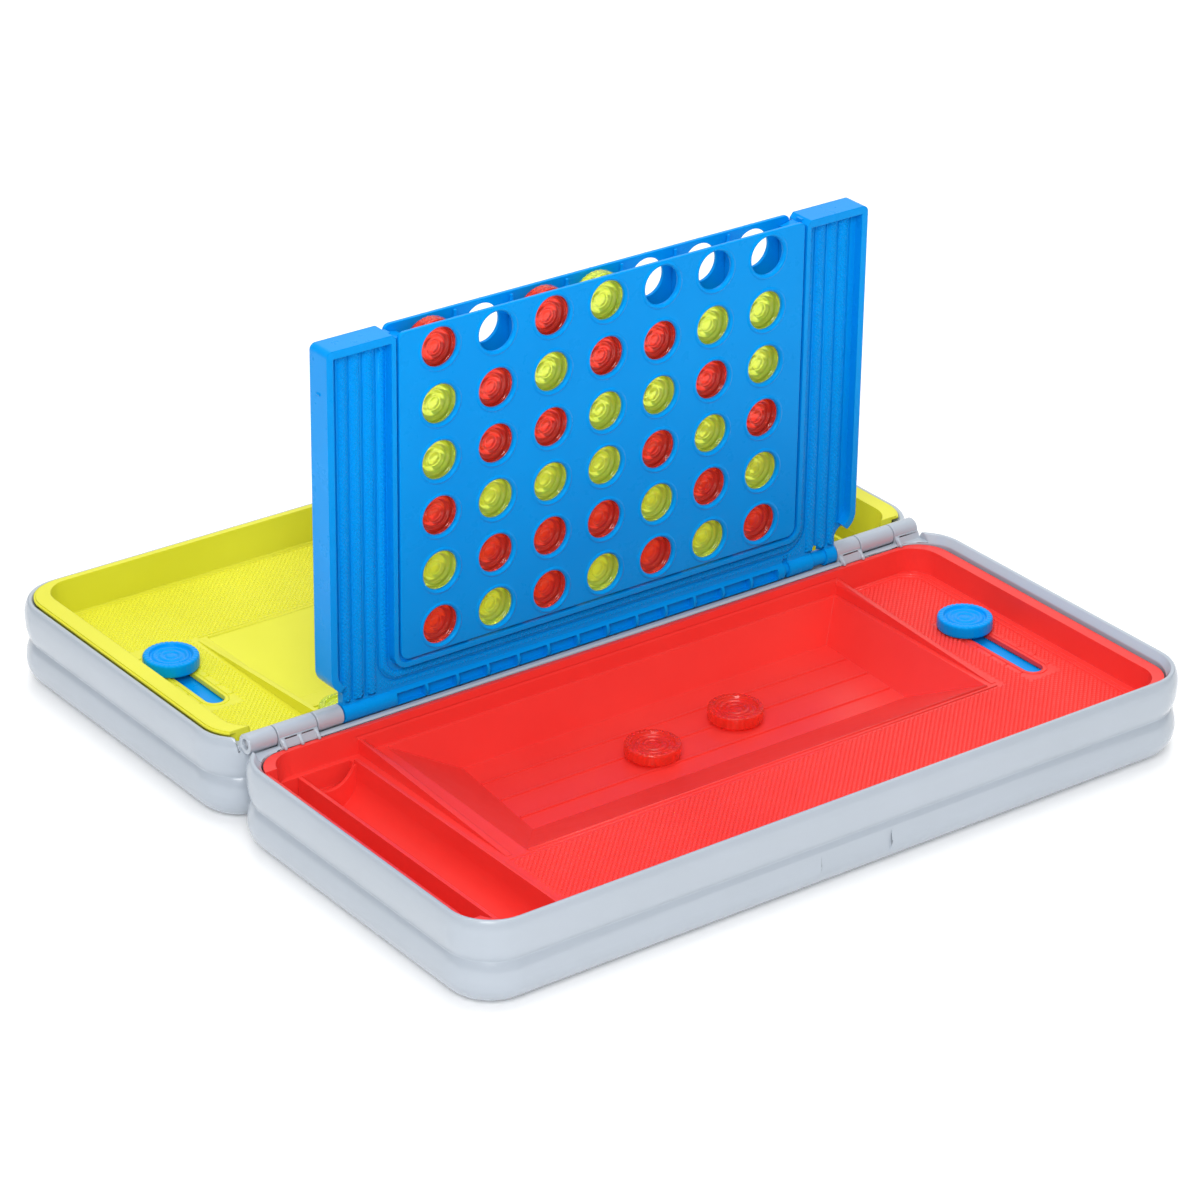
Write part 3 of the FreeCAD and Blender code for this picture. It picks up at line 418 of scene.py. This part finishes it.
# (radius, depth below the top): dome, two raised rings, sunken floor, raised rim
DISC_FACE = [
    (0.0, 0.62), (0.9, 0.63), (1.45, 0.70), (1.75, 0.86), (2.05, 0.92), (2.3, 0.88),
    (2.5, 0.70), (2.7, 0.62), (3.1, 0.60), (3.45, 0.66), (3.7, 0.84), (4.0, 0.95),
    (4.3, 0.95), (4.55, 0.84), (4.75, 0.66), (5.0, 0.58), (5.4, 0.58), (5.65, 0.70),
    (5.85, 0.95), (6.2, 1.0), (6.5, 0.9), (6.7, 0.5), (6.85, 0.16), (7.1, 0.02),
    (7.4, 0.0), (7.7, 0.0), (8.0, 0.01), (8.3, 0.06), (8.55, 0.2), (8.74, 0.42),
    (8.85, 0.75), (8.89, 1.15),
]
DISC_RADIUS = DISC_FACE[-1][0]


def disc_face(radius, top):
    """Upper face from the centre outwards, as (radius, z)."""
    scale = radius / DISC_RADIUS
    return [(r * scale, top - depth) for r, depth in DISC_FACE]


def beaded(radius, half):
    """Ripple that presses notches between the beads into a disc centred on z = 0."""
    scale = radius / DISC_RADIUS

    def ripple(r, z, angle):
        table_r = r / scale
        if table_r > BEAD_START and abs(abs(z) - half) < 1.2:
            notch = 0.5 - 0.5 * math.cos(BEADS * angle)
            weight = 0.25
            if table_r < BEAD_START + BEAD_LENGTH:
                weight = math.sin((table_r - BEAD_START) / BEAD_LENGTH * math.pi) ** 0.7
            z -= math.copysign(BEAD_DEPTH * notch * weight, z)
            if table_r > 8.5:
                r -= 0.10 * notch
        return r, z
    return ripple


def lathe(profile, ripple):
    """Solid of revolution about z; the profile starts and ends on the axis.

    ripple(r, z, angle) shifts every point off the axis.
    """
    verts, rings = [(0.0, 0.0, profile[0][1])], []
    for r, z in profile[1:-1]:
        rings.append(list(range(len(verts), len(verts) + TURNED_SEGMENTS)))
        for k in range(TURNED_SEGMENTS):
            angle = 2 * math.pi * k / TURNED_SEGMENTS
            moved_r, moved_z = ripple(r, z, angle)
            verts.append((moved_r * math.cos(angle), moved_r * math.sin(angle), moved_z))
    verts.append((0.0, 0.0, profile[-1][1]))

    pairs = [(k, (k + 1) % TURNED_SEGMENTS) for k in range(TURNED_SEGMENTS)]
    first, last, end = rings[0], rings[-1], len(verts) - 1
    faces = [(0, first[after], first[k]) for k, after in pairs]
    bridge(faces, rings)
    faces += [(last[k], last[after], end) for k, after in pairs]
    return verts, faces


def checker_meshes():
    """One shared checker mesh per colour."""
    upper = disc_face(CHECKER_RADIUS, CHECKER_HALF)
    lower = [(r, -z) for r, z in reversed(upper)]
    verts, faces = lathe(upper + lower, beaded(CHECKER_RADIUS, CHECKER_HALF))
    meshes = {}
    for slot in ("clear_red", "clear_yellow"):
        meshes[slot] = raw_mesh("checker_" + slot, verts, faces)
        face_outwards(meshes[slot])
        shade(meshes[slot], slot)
    return meshes


def place_checker(index, node, mesh):
    """Put a turned checker where its CAD disc is, lying flat or standing with its axis on Y."""
    centre, size = measure(node)
    checker = bpy.data.objects.new(node + "_turned", mesh)
    lies_flat = size.z < size.x * 0.6
    tilt = Matrix.Rotation(math.radians(0 if lies_flat else 90), 4, "X")
    spin = Matrix.Rotation(math.radians(90 * (index % 4)), 4, "Z")
    checker.matrix_world = Matrix.Translation(centre * MM) @ tilt @ spin
    scene.collection.objects.link(checker)
    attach(checker, BODY[node])
    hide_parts(node)


def score_knob(node):
    """Beaded disc on a stepped stem that reaches down to the CAD piece's foot."""
    low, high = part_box(node)
    centre, size = measure(node)
    radius = size.x / 2
    mid = high.z / MM - KNOB_HALF
    foot, disc = low.z / MM, high.z / MM - KNOB_HEIGHT
    face = [(r, z + mid) for r, z in disc_face(radius, KNOB_HALF)]
    under = [(radius, disc + 0.8), (radius - 0.1, disc + 0.3), (radius - 0.45, disc),
             (3.0, disc), (2.8, disc - 0.2), (2.8, foot + 2.04), (1.4, foot + 2.04),
             (1.4, foot + 0.2), (1.2, foot), (0.0, foot)]
    bead_ripple = beaded(radius, KNOB_HALF)

    def ripple(r, z, angle):
        if z > mid:
            r, above = bead_ripple(r, z - mid, angle)
            z = above + mid
        return r, z

    verts, faces = lathe(face + under, ripple)
    verts = [(x + centre.x, y + centre.y, z) for x, y, z in verts]
    knob = make(node + "_turned", verts, faces, SLOT[node], BODY[node])
    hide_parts(node)


CHECKER_MESHES = checker_meshes()
for index, node in enumerate(sorted(name for name in NODES if "checker" in name)):
    place_checker(index, node, CHECKER_MESHES[SLOT[node]])
for node in ("red_score_knob", "yellow_score_knob"):
    score_knob(node)


# ---------------------------------------------------------------------------
# grid panels: plates with a raised bead round every hole
# ---------------------------------------------------------------------------

COLUMN_PITCH = 20.0
ROW_PITCH = 17.82
COLUMNS = [(k - 3) * COLUMN_PITCH for k in range(7)]
ROWS = [49.59 + ROW_PITCH * k for k in range(6)]

# hole edge from outside in: (radius, height over the outer face); the last runs into the plate
HOLE_BEAD = [
    (7.66, 0.0), (7.50, 0.015), (7.33, 0.14), (7.14, 0.26), (6.95, 0.30), (6.76, 0.28),
    (6.58, 0.19), (6.42, 0.05), (6.28, -0.10), (6.18, -0.28), (6.15, -0.42), (6.15, -0.98),
    (6.20, -1.18), (6.36, -1.30),
]
CELL_STEPS = 16              # steps along one side of a cell
CORNER_STEPS = 6             # of which these follow a corner of the plate
RIM = 0.3                    # rounding of the plate's rim
LOW_TURN = 3.0 - RIM         # bottom and top corner radii, less the rim
HIGH_TURN = 2.0 - RIM
# quarter turn of the rim: (share of RIM outwards, share of RIM below the face)
RIM_TURN = [(0.0, 0.0), (0.5, 0.134), (0.866, 0.5), (1.0, 1.0)]


def side_steps(low, high, low_turn=0.0, high_turn=0.0):
    """Points along one side of a cell, closer together where the plate's corner turns."""
    if low_turn:
        head = [low_turn * (1 - math.cos(math.radians(90 / CORNER_STEPS * k)))
                for k in range(CORNER_STEPS + 1)]
        straight = CELL_STEPS - CORNER_STEPS
        rest = [head[-1] + (high - low - head[-1]) * k / straight
                for k in range(1, straight + 1)]
        return [low + step for step in head + rest]
    if high_turn:
        return [low + high - z for z in reversed(side_steps(low, high, low_turn=high_turn))]
    return [low + (high - low) * k / CELL_STEPS for k in range(CELL_STEPS + 1)]


def hole_cell(faces, vertex, hole_x, hole_z, xs, zs, thick):
    """Square cell of the plate, front to back through its beaded hole."""
    loop = ([(x, zs[0]) for x in xs[:-1]] + [(xs[-1], z) for z in zs[:-1]]
            + [(x, zs[-1]) for x in reversed(xs[1:])] + [(xs[0], z) for z in reversed(zs[1:])])
    # bearings start at the lower left corner, like the loop
    bearings = [math.radians(-135 + 360.0 * k / len(loop)) for k in range(len(loop))]
    rings = [[vertex(x, z, 0.0) for x, z in loop]]
    for radius, height in HOLE_BEAD:
        rings.append([vertex(hole_x + radius * math.cos(a), hole_z + radius * math.sin(a), height)
                      for a in bearings])
    rings.append([vertex(x, z, -thick) for x, z in loop])
    bridge(faces, rings)


def plate_rim(faces, vertex, outline, thick):
    """Rounded rim all round the plate, from its outer face to its inner face."""
    count = len(outline)
    normals = []
    for k in range(count):
        back_x, back_z = outline[k - 1]
        next_x, next_z = outline[(k + 1) % count]
        length = math.hypot(next_x - back_x, next_z - back_z)
        normals.append(((next_z - back_z) / length, -(next_x - back_x) / length))
    profile = [(RIM * out, -RIM * down) for out, down in RIM_TURN]
    profile += [(RIM * out, -thick + RIM * down) for out, down in reversed(RIM_TURN)]
    bridge(faces, [[vertex(x + nx * out, z + nz * out, height)
                    for (x, z), (nx, nz) in zip(outline, normals)]
                   for out, height in profile])


def moulded_panel(node):
    """Whole plate as one closed surface, in place of its CAD piece."""
    low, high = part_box(node)
    half_width, bottom, top = high.x / MM, low.z / MM, high.z / MM
    front = low.y < 0
    face_y = (low.y if front else high.y) / MM
    out = -1.0 if front else 1.0
    thick = (high.y - low.y) / MM
    verts, faces, known = [], [], {}

    def vertex(x, z, height):
        """Index of the point at this height over the outer face."""
        key = (round(x, 4), round(z, 4), round(height, 4))
        if key not in known:
            known[key] = len(verts)
            verts.append((x, face_y + out * height, z))
        return known[key]

    x_lines = [x - COLUMN_PITCH / 2 for x in COLUMNS] + [COLUMNS[-1] + COLUMN_PITCH / 2]
    z_lines = ([bottom + RIM] + [(a + b) / 2 for a, b in zip(ROWS, ROWS[1:])] + [top - RIM])
    xs_of = [side_steps(a, b) for a, b in zip(x_lines, x_lines[1:])]

    def edge_x(z):
        """Right end of the flat face, drawn in at the plate's corners."""
        x = half_width - RIM
        for rise, turn in ((z - z_lines[0], LOW_TURN), (z_lines[-1] - z, HIGH_TURN)):
            if rise < turn:
                x -= turn - math.sqrt(max(0.0, turn * turn - (turn - rise) ** 2))
        return x

    right_side = []
    for row, hole_z in enumerate(ROWS):
        first, last = row == 0, row == len(ROWS) - 1
        zs = side_steps(z_lines[row], z_lines[row + 1],
                        LOW_TURN if first else 0.0, HIGH_TURN if last else 0.0)
        for hole_x, xs in zip(COLUMNS, xs_of):
            hole_cell(faces, vertex, hole_x, hole_z, xs, zs, thick)
        # strips between the outer cells and the plate's ends
        for side in (-1, 1):
            cell_x = side * x_lines[-1]
            for height in (0.0, -thick):
                for za, zb in zip(zs, zs[1:]):
                    faces.append((vertex(cell_x, za, height),
                                  vertex(side * edge_x(za), za, height),
                                  vertex(side * edge_x(zb), zb, height),
                                  vertex(cell_x, zb, height)))
        right_side += [(edge_x(z), z) for z in (zs if first else zs[1:])]

    bottom_side = [(x, z_lines[0]) for xs in xs_of for x in xs[:-1]] + [(x_lines[-1], z_lines[0])]
    top_side = [(x, z_lines[-1]) for x, _ in reversed(bottom_side)]
    left_side = [(-x, z) for x, z in reversed(right_side)]
    plate_rim(faces, vertex, bottom_side + right_side + top_side + left_side, thick)
    panel = make(node + "_moulded", verts, faces, "blue", "grid")
    weight_normals(panel)
    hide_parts(node)


for node in ("grid_front_panel", "grid_rear_panel"):
    moulded_panel(node)


# ---------------------------------------------------------------------------
# grid frame: knurled strips on the end blocks and knurled foot
# ---------------------------------------------------------------------------

WEB = 1.3                          # distance of the web's face from the grid's mid plane
CROWN = 0.62                       # height of a strip's rounded crown
STRIP_DEEP = 0.2                   # how far a strip reaches into the web
FOOT_Z, HEAD_Z = 32.2, 143.3       # ends of the strips
TURN_X, TURN_Z = 72.5, 42          # centre of the inner strip's turn under the panels
INNER_MID, INNER_HALF = 78.55, 1.2
STRAIGHT_STRIPS = [(82.75, 1.5), (87.35, 1.6)]    # (distance from the middle, half width)
OUTER_FROM = 90.45                 # inner edge of the outermost strip
# the outermost strip's outer edge widens between two heights: (z, x)
NARROW_Z, NARROW_X = 35.5, 92.3
WIDE_Z, WIDE_X = 38.0, 93.4
STRIP_SECTION = [-1.0, -0.97, -0.88, -0.72, -0.5, -0.25, 0.0,
                 0.25, 0.5, 0.72, 0.88, 0.97, 1.0]    # share of the half width
KNURL = dict(cell=0.98, high=0.13, slot="blue", body="grid")


def turned(x, z):
    """Distance coordinate of the inner strip: straight beside the panels, turning under them."""
    x = abs(x)
    if x > TURN_X:
        return x if z > TURN_Z else TURN_X + math.hypot(x - TURN_X, TURN_Z - z)
    return TURN_X + (TURN_Z - z)


def outer_strip(z):
    """(distance from the middle, half width) of the outermost strip at this height."""
    if z < NARROW_Z:
        edge = NARROW_X
    elif z > WIDE_Z:
        edge = WIDE_X
    else:
        edge = NARROW_X + (z - NARROW_Z) * (WIDE_X - NARROW_X) / (WIDE_Z - NARROW_Z)
    return (OUTER_FROM + edge) / 2, (edge - OUTER_FROM) / 2


def crown(across):
    """Height of a strip, across running from -1 to 1 over its width."""
    return CROWN * max(0.0, 1.0 - across * across) ** 0.65


def across_strip(x, z):
    """Position across the strip at this point, from -1 to 1; 1 where there is no strip."""
    if FOOT_Z <= z <= HEAD_Z:
        places = [(turned(x, z), INNER_MID, INNER_HALF)]
        places += [(abs(x), *strip) for strip in STRAIGHT_STRIPS + [outer_strip(z)]]
        for at, mid, half in places:
            if abs(at - mid) < half:
                return (at - mid) / half
    return 1.0


def strip(verts, faces, path, side):
    """Rounded strip on the web; path is a list of (x, z, half width, normal x, normal z)."""
    root = side * WEB - side * STRIP_DEEP
    sections = []
    for x, z, half, nx, nz in path:
        section = [(x - nx * half, root, z - nz * half)]
        section += [(x + nx * half * share, side * WEB + side * crown(share),
                     z + nz * half * share) for share in STRIP_SECTION]
        section.append((x + nx * half, root, z + nz * half))
        sections.append(section)
    sweep(verts, faces, sections)


def inner_path():
    """Down the right side, round under the panels and up the left side."""
    radius = INNER_MID - TURN_X
    path = [(INNER_MID, z, INNER_HALF, 1.0, 0.0) for z in (HEAD_Z, 120.0, 95.0, 70.0, TURN_Z)]
    for k in range(1, 10):
        angle = math.radians(-90.0 * k / 10)
        nx, nz = math.cos(angle), math.sin(angle)
        path.append((TURN_X + radius * nx, TURN_Z + radius * nz, INNER_HALF, nx, nz))
    path += [(x, TURN_Z - radius, INNER_HALF, 0.0, -1.0) for x in (TURN_X, 36.0, 0.0)]
    return path + [(-x, z, half, -nx, nz) for x, z, half, nx, nz in reversed(path[:-1])]


def frame_face(name, side):
    """Strips and knurling on one face of the frame; side is -1 for the front, 1 for the rear."""
    verts, faces = [], []
    levels = [FOOT_Z + (HEAD_Z - FOOT_Z) * k / 24 for k in range(25)]
    outer_levels = sorted(set(levels + [NARROW_Z, 36.3, 37.2, WIDE_Z]))
    for end in (-1, 1):
        for mid, half in STRAIGHT_STRIPS:
            strip(verts, faces, [(end * mid, z, half, end, 0.0) for z in levels], side)
        outer = [(z, *outer_strip(z)) for z in outer_levels]
        strip(verts, faces, [(end * mid, z, half, end, 0.0) for z, mid, half in outer], side)
    strip(verts, faces, inner_path(), side)
    make("grid_%s_strips" % name, verts, faces, "blue", "grid")

    def on_strip(x, z, height):
        lift = crown(across_strip(x, z)) + 0.01
        return x, side * (WEB + (height + lift)), z

    def on_web(x, z, height):
        return x, side * (WEB + height), z

    relief("grid_%s_knurl" % name, on_strip, lambda x, z: abs(across_strip(x, z)) < 0.86,
           (-96, 96), (31, 144), base=0.0, deep=0.25, **KNURL)
    relief("grid_%s_foot_knurl" % name, on_web,
           lambda x, z: abs(x) < 80.2 and turned(x, z) > 81.4 and z > FOOT_Z,
           (-81, 81), (31, 36), **KNURL)


frame_face("front", -1)
frame_face("rear", 1)


# ---------------------------------------------------------------------------
# trays: diamond texture, border lines, tick marks (places are those of the red half)
# ---------------------------------------------------------------------------

DECK = 17.4                                   # height of the tray's deck
TEXTURE_LEFT, TEXTURE_RIGHT = -91.5, 118.0
TEXTURE_FRONT, TEXTURE_BACK = -117.2, -10.2
TEXTURE_CORNER = 5.8
BASIN_RIGHT, BASIN_FRONT = 93.4, -84.6        # plain area round the basin
SLOT_X, SLOT_FRONT, SLOT_BACK = 107.5, -80.3, -47.0    # score slot, centres of its round ends
SLOT_MARGIN = 6.6                             # half width left plain round the slot
MARGIN_FRONT, MARGIN_BACK = -87.0, -40.4
CHANNEL_X, CHANNEL_Z, CHANNEL_RADIUS = -105.1, 12.9, 9.1    # round channel along Y

# rounded section of a line: (share of the width, share of the height)
RIDGE_TOP = [(-0.5, 0.0), (-0.38, 0.62), (-0.16, 0.95), (0.16, 0.95), (0.38, 0.62), (0.5, 0.0)]
RIDGE_DEEP = 0.2


def on_deck(x, y, height):
    return x, y, DECK + height


def textured(x, y):
    """Whether the deck carries the diamond texture at this point."""
    if not (TEXTURE_LEFT <= x <= TEXTURE_RIGHT and TEXTURE_FRONT <= y <= TEXTURE_BACK):
        return False
    # rounded corners on the right
    past_x = x - (TEXTURE_RIGHT - TEXTURE_CORNER)
    for past_y in (TEXTURE_FRONT + TEXTURE_CORNER - y, y - (TEXTURE_BACK - TEXTURE_CORNER)):
        if past_x > 0 and past_y > 0 and math.hypot(past_x, past_y) > TEXTURE_CORNER:
            return False
    if x < BASIN_RIGHT and y > BASIN_FRONT:
        return False
    return not (abs(x - SLOT_X) < SLOT_MARGIN and MARGIN_FRONT < y < MARGIN_BACK)


def ridge(verts, faces, path, width, height, floor=DECK, floors=None, closed=False):
    """Small rounded line along (x, y) points; floors gives a height for each point."""
    count = len(path)
    sections = []
    for i, (x, y) in enumerate(path):
        back = path[i - 1] if closed or i > 0 else (x, y)
        ahead = path[(i + 1) % count] if closed or i < count - 1 else (x, y)
        arriving = Vector((x - back[0], y - back[1])).normalized()
        leaving = Vector((ahead[0] - x, ahead[1] - y)).normalized()
        along = (arriving + leaving).normalized()
        z = floors[i] if floors else floor
        profile = [(share, up * height) for share, up in RIDGE_TOP]
        profile = [(-0.5, -RIDGE_DEEP)] + profile + [(0.5, -RIDGE_DEEP)]
        sections.append([(x - along.y * share * width, y + along.x * share * width, z + up)
                         for share, up in profile])
    sweep(verts, faces, sections, closed)


def border_lines(verts, faces):
    """Two lines round the deck's right end, the second outside the first."""
    for offset in (0.0, 1.9):
        right, radius = 119.0 + offset, 6.6 + offset * 0.8
        front, back = -118.1 - offset * 0.62, -9.0 + offset * 0.62
        path = ([(93.0, back)] + arc(right - radius, back - radius, radius, 90, 0)
                + arc(right - radius, front + radius, radius, 0, -90)[1:] + [(-93.6, front)]
                if False else
                [(93.0, back)] + arc(right - radius, back - radius, radius, 90, 0)
                + arc(right - radius, front + radius, radius, 0, -90) + [(-93.6, front)])
        ridge(verts, faces, path, width=0.55, height=0.34)


def slot_lines(verts, faces):
    """Line round the score slot and tick marks on both sides of it."""
    path = arc(SLOT_X, SLOT_FRONT, 4.5, 180, 360, 16) + arc(SLOT_X, SLOT_BACK, 4.5, 0, 180, 16)
    ridge(verts, faces, path, width=0.5, height=0.28, closed=True)
    for k in range(6):
        y = -46.8 - k * 6.9
        for side in (-1, 1):
            tick = [(SLOT_X + side * 4.9, y), (SLOT_X + side * SLOT_MARGIN, y)]
            ridge(verts, faces, tick, width=0.6, height=0.3)


def basin_lines(verts, faces):
    """Thin line in front of the basin and a wider bead along its front edge."""
    ridge(verts, faces, [(-91.5, -83.4), (90.5, -83.4)], width=0.5, height=0.25)
    ridge(verts, faces, [(-84.2, -81.75), (0.0, -81.75), (87.8, -81.75)], width=0.95, height=0.42)


def channel_lines(verts, faces):
    """Three lines across the channel's hinge end, and two low ridges over its round floor."""
    for k in range(3):
        y = -8.75 - 0.85 * k
        ridge(verts, faces, [(-122.6, y), (-95.4, y)], width=0.42, height=0.3, floor=11.02)
    angles = [math.radians(-24 + 8 * k) for k in range(7)]
    floors = [CHANNEL_Z - CHANNEL_RADIUS * math.cos(a) - 0.02 for a in angles]
    for y in (-66.0, -101.0):
        path = [(CHANNEL_X + CHANNEL_RADIUS * math.sin(a), y) for a in angles]
        ridge(verts, faces, path, width=0.9, height=0.4, floors=floors)


for colour, turn in (("red", False), ("yellow", True)):
    body = colour + "_half"
    relief(colour + "_tray_texture", on_deck, textured, (-93, 119), (-118.5, -9),
           cell=1.30, high=0.36, slot=colour, body=body, flat=0.30, turn=turn)
    verts, faces = [], []
    border_lines(verts, faces)
    slot_lines(verts, faces)
    basin_lines(verts, faces)
    channel_lines(verts, faces)
    make(colour + "_tray_lines", verts, faces, colour, body, turn=turn)


# ---------------------------------------------------------------------------
# floor, world, lights, camera (light and camera places in metres)
# ---------------------------------------------------------------------------

def pale_floor():
    half = 4000.0
    corners = [(-half, -half, 0), (half, -half, 0), (half, half, 0), (-half, half, 0)]
    floor = bpy.data.objects.new("floor", raw_mesh("floor", corners, [(0, 1, 2, 3)]))
    floor.location = (0, 0, -0.2 * MM)
    scene.collection.objects.link(floor)
    material, tree, surface = new_material("pale_floor")
    wire(tree, surface, {
        "Base Color": (0.95, 0.95, 0.95, 1), "Roughness": 0.65, "Specular IOR Level": 0.2,
        "Emission Color": (1, 1, 1, 1), "Emission Strength": 0.12})
    floor.data.materials.append(material)


def studio_world():
    """Even white light; glossy faces mirror a sky that is bright overhead, dark at the sides."""
    world = bpy.data.worlds.new("studio")
    scene.world = world
    world.use_nodes = True
    tree = world.node_tree
    tree.nodes.clear()
    direction = add_node(tree, "TexCoord").outputs["Generated"]
    axes = add_node(tree, "SeparateXYZ", {0: direction})
    sky = colour_ramp(tree, axes.outputs[2], (0.05, (0.12, 0.12, 0.13)), (0.75, (1.0, 1.0, 1.0)))
    even = add_node(tree, "Background", {"Color": (1.0, 1.0, 1.0, 1), "Strength": 0.55})
    mirrored = add_node(tree, "Background", {"Color": sky, "Strength": 0.42})
    glossy = add_node(tree, "LightPath").outputs["Is Glossy Ray"]
    mix = add_node(tree, "MixShader", {0: glossy, 1: even.outputs[0], 2: mirrored.outputs[0]})
    add_node(tree, "OutputWorld", {0: mix.outputs[0]})


def area_light(name, location, target, size, power):
    light = bpy.data.lights.new(name, "AREA")
    light.shape = "RECTANGLE"
    light.size = size
    light.size_y = size
    light.energy = power
    lamp = bpy.data.objects.new(name, light)
    lamp.location = location
    aim = Vector(target) - Vector(location)
    lamp.rotation_euler = aim.to_track_quat("-Z", "Y").to_euler()
    scene.collection.objects.link(lamp)


def add_camera():
    lens = bpy.data.cameras.new("camera")
    camera = bpy.data.objects.new("camera", lens)
    scene.collection.objects.link(camera)
    lens.lens = 133.344
    lens.sensor_width = 36.0
    lens.clip_start = 0.05
    right = Vector((0.8024655, -0.59657053, 0.01235789))
    up = Vector((0.25904305, 0.36695441, 0.89344343))
    backward = Vector((-0.5375368, -0.71375631, 0.4490057))
    pose = Matrix((right, up, backward)).transposed().to_4x4()
    pose.translation = Vector((-0.72560, -0.96594, 0.64568))
    camera.matrix_world = pose
    scene.camera = camera


pale_floor()
studio_world()
area_light("key", location=(-0.78, -0.92, 0.95), target=(0, 0, 0.05), size=0.55, power=12.0)
area_light("top", location=(0.1, 0.1, 1.3), target=(0, 0, 0.03), size=0.8, power=7.0)
area_light("rim", location=(0.95, 0.95, 0.75), target=(0, 0, 0.06), size=1.7, power=6.0)
add_camera()
scene.view_settings.view_transform = "Standard"
scene.view_settings.look = "None"
